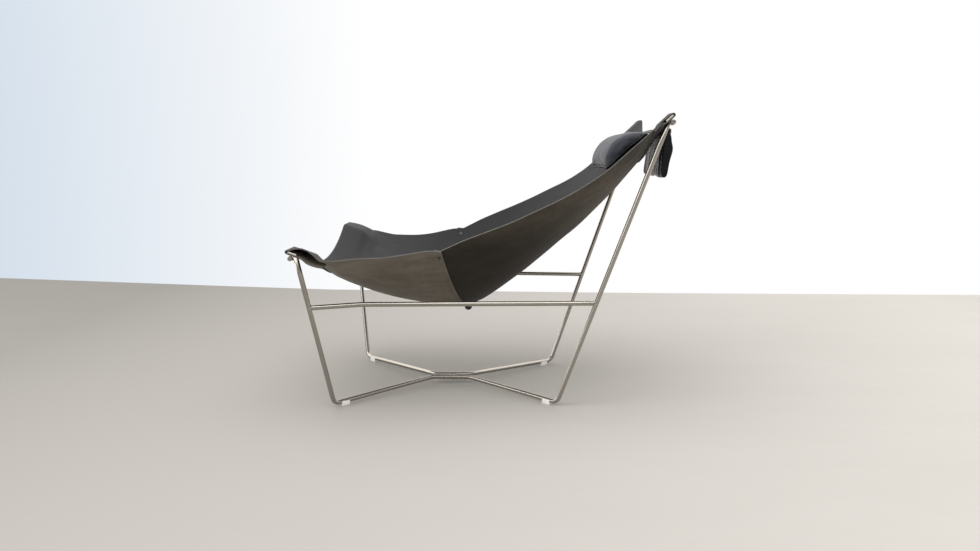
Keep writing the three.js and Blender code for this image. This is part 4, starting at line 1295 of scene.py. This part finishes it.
strapShape = {
    "halfWidth": 140.0, "thick": 2.4,
    "line": [[0.16, 0.6], [0.36, 0.95], [0.62, 1.15], [0.88, 1.75], [1.14, 1.6]],
    "foldShare": 0.64, "along": 34, "across": 41, "wave": 0.5, "waves": (9, 0.3),
}
pouchShape = {
    "front": 543.0, "rear": 571.0, "low": 586.0, "high": 690.0, "around": 60, "across": 61,
    "outline": [[0, 0], [0.55, 0], [0.84, 0.3], [1.18, 0.62], [1.06, 0.82], [0.9, 1], [0.4, 1], [0.2, 0.7],
                [0.05, 0.32]],
    "fold": 2.8, "foldFade": 0.35, "foldMiddle": 0.55, "foldRear": 0.9, "foldEnds": (0.55, 1.0),
    "broadFold": (0.085, 0.6, 0.6), "fineFold": (0.19, 1.1, 2.2, 0.4), "pinch": 0.35, "pinchEnds": (0.9, 1.0),
    "pinchAt": 0.45, "sideSteep": 2.2, "sagging": 1.5, "sagOften": 0.05, "sagBelow": 0.2,
    "stitchShare": 0.955, "edge": 0.0011,
}


def strapLine():
    rows = panelRows(backPanel)
    over = max(rowPoint(row, strapShape["halfWidth"] / row["halfWidth"], backPanel)[2] for row in rows)
    over += leather / 2 + gap + strapShape["thick"] / 2
    slope = math.radians(pillowShape["tilt"])
    edge = np.array([pillowShape["y"], pillowShape["z"]])
    edge = edge + pillowShape["depth"] * np.array([math.cos(slope), math.sin(slope)])
    reach = np.array([(pouchShape["front"] + pouchShape["rear"]) / 2, over]) - edge
    line = [edge + gap] + [edge + reach * share for share in strapShape["line"]]
    line.append(np.array([line[-1][0], pouchShape["high"] + 2 * gap]))
    return through(line, strapShape["along"])


def strapPiece(name, line):
    across, (often, shift) = np.linspace(-1, 1, strapShape["across"]), strapShape["waves"]
    grid = np.array([[(x * strapShape["halfWidth"], y, z + strapShape["wave"] * math.sin(x * often + i * shift))
                      for x in across] for i, (y, z) in enumerate(line)])
    piece = sheetPiece(name, grid, strapShape["thick"], ["strap", "flesh", "edge"])
    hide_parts("headrest_strap")
    return piece, float(lengthsAlong(grid[:, 0])[-1] * millimetre)


def makeStrap():  # two sheets that part at the hem's fold, one from the pillow's edge to the fold and one from there down to the pouch
    line = strapLine()
    fold = line[0, 0] + (line[-1, 0] - line[0, 0]) * strapShape["foldShare"]
    crest = int(np.argmin(np.abs(line[:, 0] - fold)))
    front, frontLength = strapPiece("strap_front", line[: crest + 1])
    rear, rearLength = strapPiece("strap_rear", line[crest:])

    def spot(point):
        return tuple(metres([[0, *point]])[0])

    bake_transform(front)
    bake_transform(rear)


makeStrap()


# The pouch behind the back

def pouchPoint(across, place):  # one point of the pouch's skin, with its soft vertical folds
    shape, (back, up) = pouchShape, place
    thick, tall = shape["rear"] - shape["front"], shape["high"] - shape["low"]
    x = across * strapShape["halfWidth"]
    ends = easeBetween(abs(across), *shape["foldEnds"])
    often, shift, size = shape["broadFold"]
    fineOften, sway, swayOften, fineSize = shape["fineFold"]
    fold = math.sin(x * often + shift) * size
    fold += math.sin(x * fineOften + sway * math.sin(up * swayOften)) * fineSize
    frontSide = max(0.0, 1 - shape["sideSteep"] * back)
    rearSide = max(0.0, shape["sideSteep"] * back - shape["sideSteep"] + 1)
    depth = shape["fold"] * (1 - shape["foldFade"] * up)
    depth *= shape["foldMiddle"] + (1 - shape["foldMiddle"]) * ends
    centre = shape["front"] + shape["pinchAt"] * thick
    y = shape["front"] + back * thick + fold * depth * (shape["foldRear"] * rearSide - frontSide)
    y = centre + (y - centre) * (1.0 - shape["pinch"] * easeBetween(abs(across), *shape["pinchEnds"]))
    drop = shape["sagging"] * math.sin(x * shape["sagOften"]) if up < shape["sagBelow"] else 0.0
    return (x, y, shape["low"] + up * tall + drop)


def makePouch():
    shape = pouchShape
    outline = through(shape["outline"], shape["around"], closed=True)

    def ring(across):
        return [pouchPoint(across, place) for place in outline]

    points = [point for across in np.linspace(-1, 1, shape["across"]) for point in ring(across)]
    faces = tubeFaces(shape["across"], len(outline))
    piece = pieceFrom("counterweight_bag", metres(points), faces, "pouch")
    fixNormals(piece)
    creasedBySharpness(piece, 55)
    dressed(piece, "counterweight", "pouch_leather", "counterweight_pouch")
    for name, side in (("left", 1), ("right", -1)):
        cord = linePiece(f"{name}_pouch_edge", metres(ring(side * 1.0)), True)
        dressed(pipingCord.run(cord, "pouch", Radius=shape["edge"]), "counterweight", "pouch_leather")
        seamLine = snapped(metres(ring(side * shape["stitchShare"])), piece, 0.0001)
        stitches(f"{name}_pouch_stitches", seamLine, "counterweight", "pouch_leather", True,
                 Spacing=0.005, Length=0.0038, Thickness=0.0008)


makePouch()
print("strap and pouch made")


# CAD nodes that stay get a finer finish

kept = {"base_lug": "fitting", "strip_screw": "fitting", "base_bolt": "fitting", "base_nut": "fitting",
        "counterweight_bar": "ballast"}
for nodeName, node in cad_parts.items():
    for key, finish in kept.items():
        if key in nodeName:
            node.data.materials.clear()
            node.data.materials.append(finishes[finish].material)


# Floor, backdrop and lights

studio = {
    "floor": (0.6, 0.575, 0.54),
    "floorStain": (0.42, 0.39, 0.36),
    # painted light: the floor's colour runs from darker towards -y to lighter towards +y, for the light falling
    # more on that side
    "floorPaintedShadeToLight": (0.52, 1.3),
    "farEdge": ((-2.6, -9.0), (-1.78, -2.56), (-1.58, -1.33), (-1.5, -0.8), (-1.457, 0.64), (-1.457, 9.0)),
    "nearEdge": 9,
    "floorPaintedLight": (-1.6, 1.9),
    "backdrop": (1.0, 1.0, 1.0),
    "backdropShade": (0.62, 0.71, 0.81),
    "fill": 0.84,
    "gleam": {"wall": 1.15, "camera": 0.46, "left": 0.9, "above": 1.7},
    "gleamOver": {"across": (-0.35, 0.45), "left": (-0.3, -0.8), "above": (0.4, 0.8)},
    "shadeOver": (-0.18, -0.6),
    "fillColour": (1.0, 0.985, 0.965),
    "key": {"size": (4.0, 4.0), "at": (1.1, -0.1, 3.1), "aim": (0, 0.2, 0.2), "power": 56},
    "side": {"size": (2.2, 1.8), "at": (1.6, -2.5, 1.7), "aim": (0, 0, 0.35), "power": 24},
}


def floorFinish():
    finish = Finish("pale_floor")
    cloud = finish.noise(1.6, 5.0, 0.6, finish.place((1.0, 0.5, 1.0)))
    brushed = finish.noise(9.0, 5.0, 0.7, finish.place((1.0, 0.22, 1.0), (0, 0, 0.3)), distortion=0.8)
    grit = finish.noise(55.0, 4.0, 0.65, finish.place())
    tone = finish.share(cloud * 0.55 + brushed * 0.3 + grit * 0.15, 0.36, 0.64)
    across = finish.add("SeparateXYZ", None, [finish.add("TexCoord", out="Object")], "Y")
    # painted light across the floor: darker towards -y, lighter towards +y
    pale = finish.share(across, *studio["floorPaintedLight"])
    base = finish.mix(pale, *(scaled(studio["floor"], factor) for factor in studio["floorPaintedShadeToLight"]))
    colour = finish.mix(tone * 0.16, base, studio["floorStain"])
    return finish.surface(colour=colour, roughness=0.75, specular=0.15)


def makeFloor():
    finishes["floor"] = floorFinish()
    points = [(x, y, 0) for x, y in studio["farEdge"]]
    points += [(studio["nearEdge"], y, 0) for x, y in studio["farEdge"]]
    count = len(studio["farEdge"])
    faces = [(k, count + k, count + k + 1, k + 1) for k in range(count - 1)]
    pieceFrom("floor", points, faces, "floor", smooth=False)


def softLight(name, settings):
    data = bpy.data.lights.new(name, "AREA")
    data.shape = "RECTANGLE"
    data.size, data.size_y = settings["size"]
    data.energy = settings["power"]
    lamp = linked(name, data)
    lamp.location = settings["at"]
    facing(lamp, Vector(settings["aim"]) - Vector(settings["at"]))


def makeWorld():
    world = bpy.data.worlds.new("studio")
    sky = Finish("studio", world)
    way = {axis: sky.add("SeparateXYZ", None, [sky.add("TexCoord", out="Generated")], axis) for axis in "XYZ"}
    wall = sky.mix(sky.share(way["Y"], *studio["shadeOver"]), studio["backdrop"], studio["backdropShade"])
    shown = sky.add("Background", None, {"Color": wall, "Strength": 1.0})
    gleam, over = studio["gleam"], studio["gleamOver"]
    seenInSteel = sky.between(way["X"], *over["across"], gleam["wall"], gleam["camera"])
    seenInSteel = seenInSteel + sky.between(way["Y"], *over["left"]) * gleam["left"]
    seenInSteel = seenInSteel + sky.between(way["Z"], *over["above"]) * gleam["above"]
    glossy = sky.add("LightPath", out="Is Glossy Ray") * (seenInSteel - studio["fill"])
    fill = sky.add("Background", None, {"Color": studio["fillColour"], "Strength": glossy + studio["fill"]})
    direct = sky.add("LightPath", out="Is Camera Ray")
    seen = direct.maths("MAXIMUM", sky.add("LightPath", out="Is Transmission Ray"))
    sky.add("OutputWorld", None, {"Surface": sky.add("MixShader", None, [seen, fill, shown])})
    bpy.context.scene.world = world


makeFloor()
softLight("key_light", studio["key"])
softLight("side_light", studio["side"])
makeWorld()
bpy.context.scene.view_settings.view_transform = "Standard"
print("studio made")
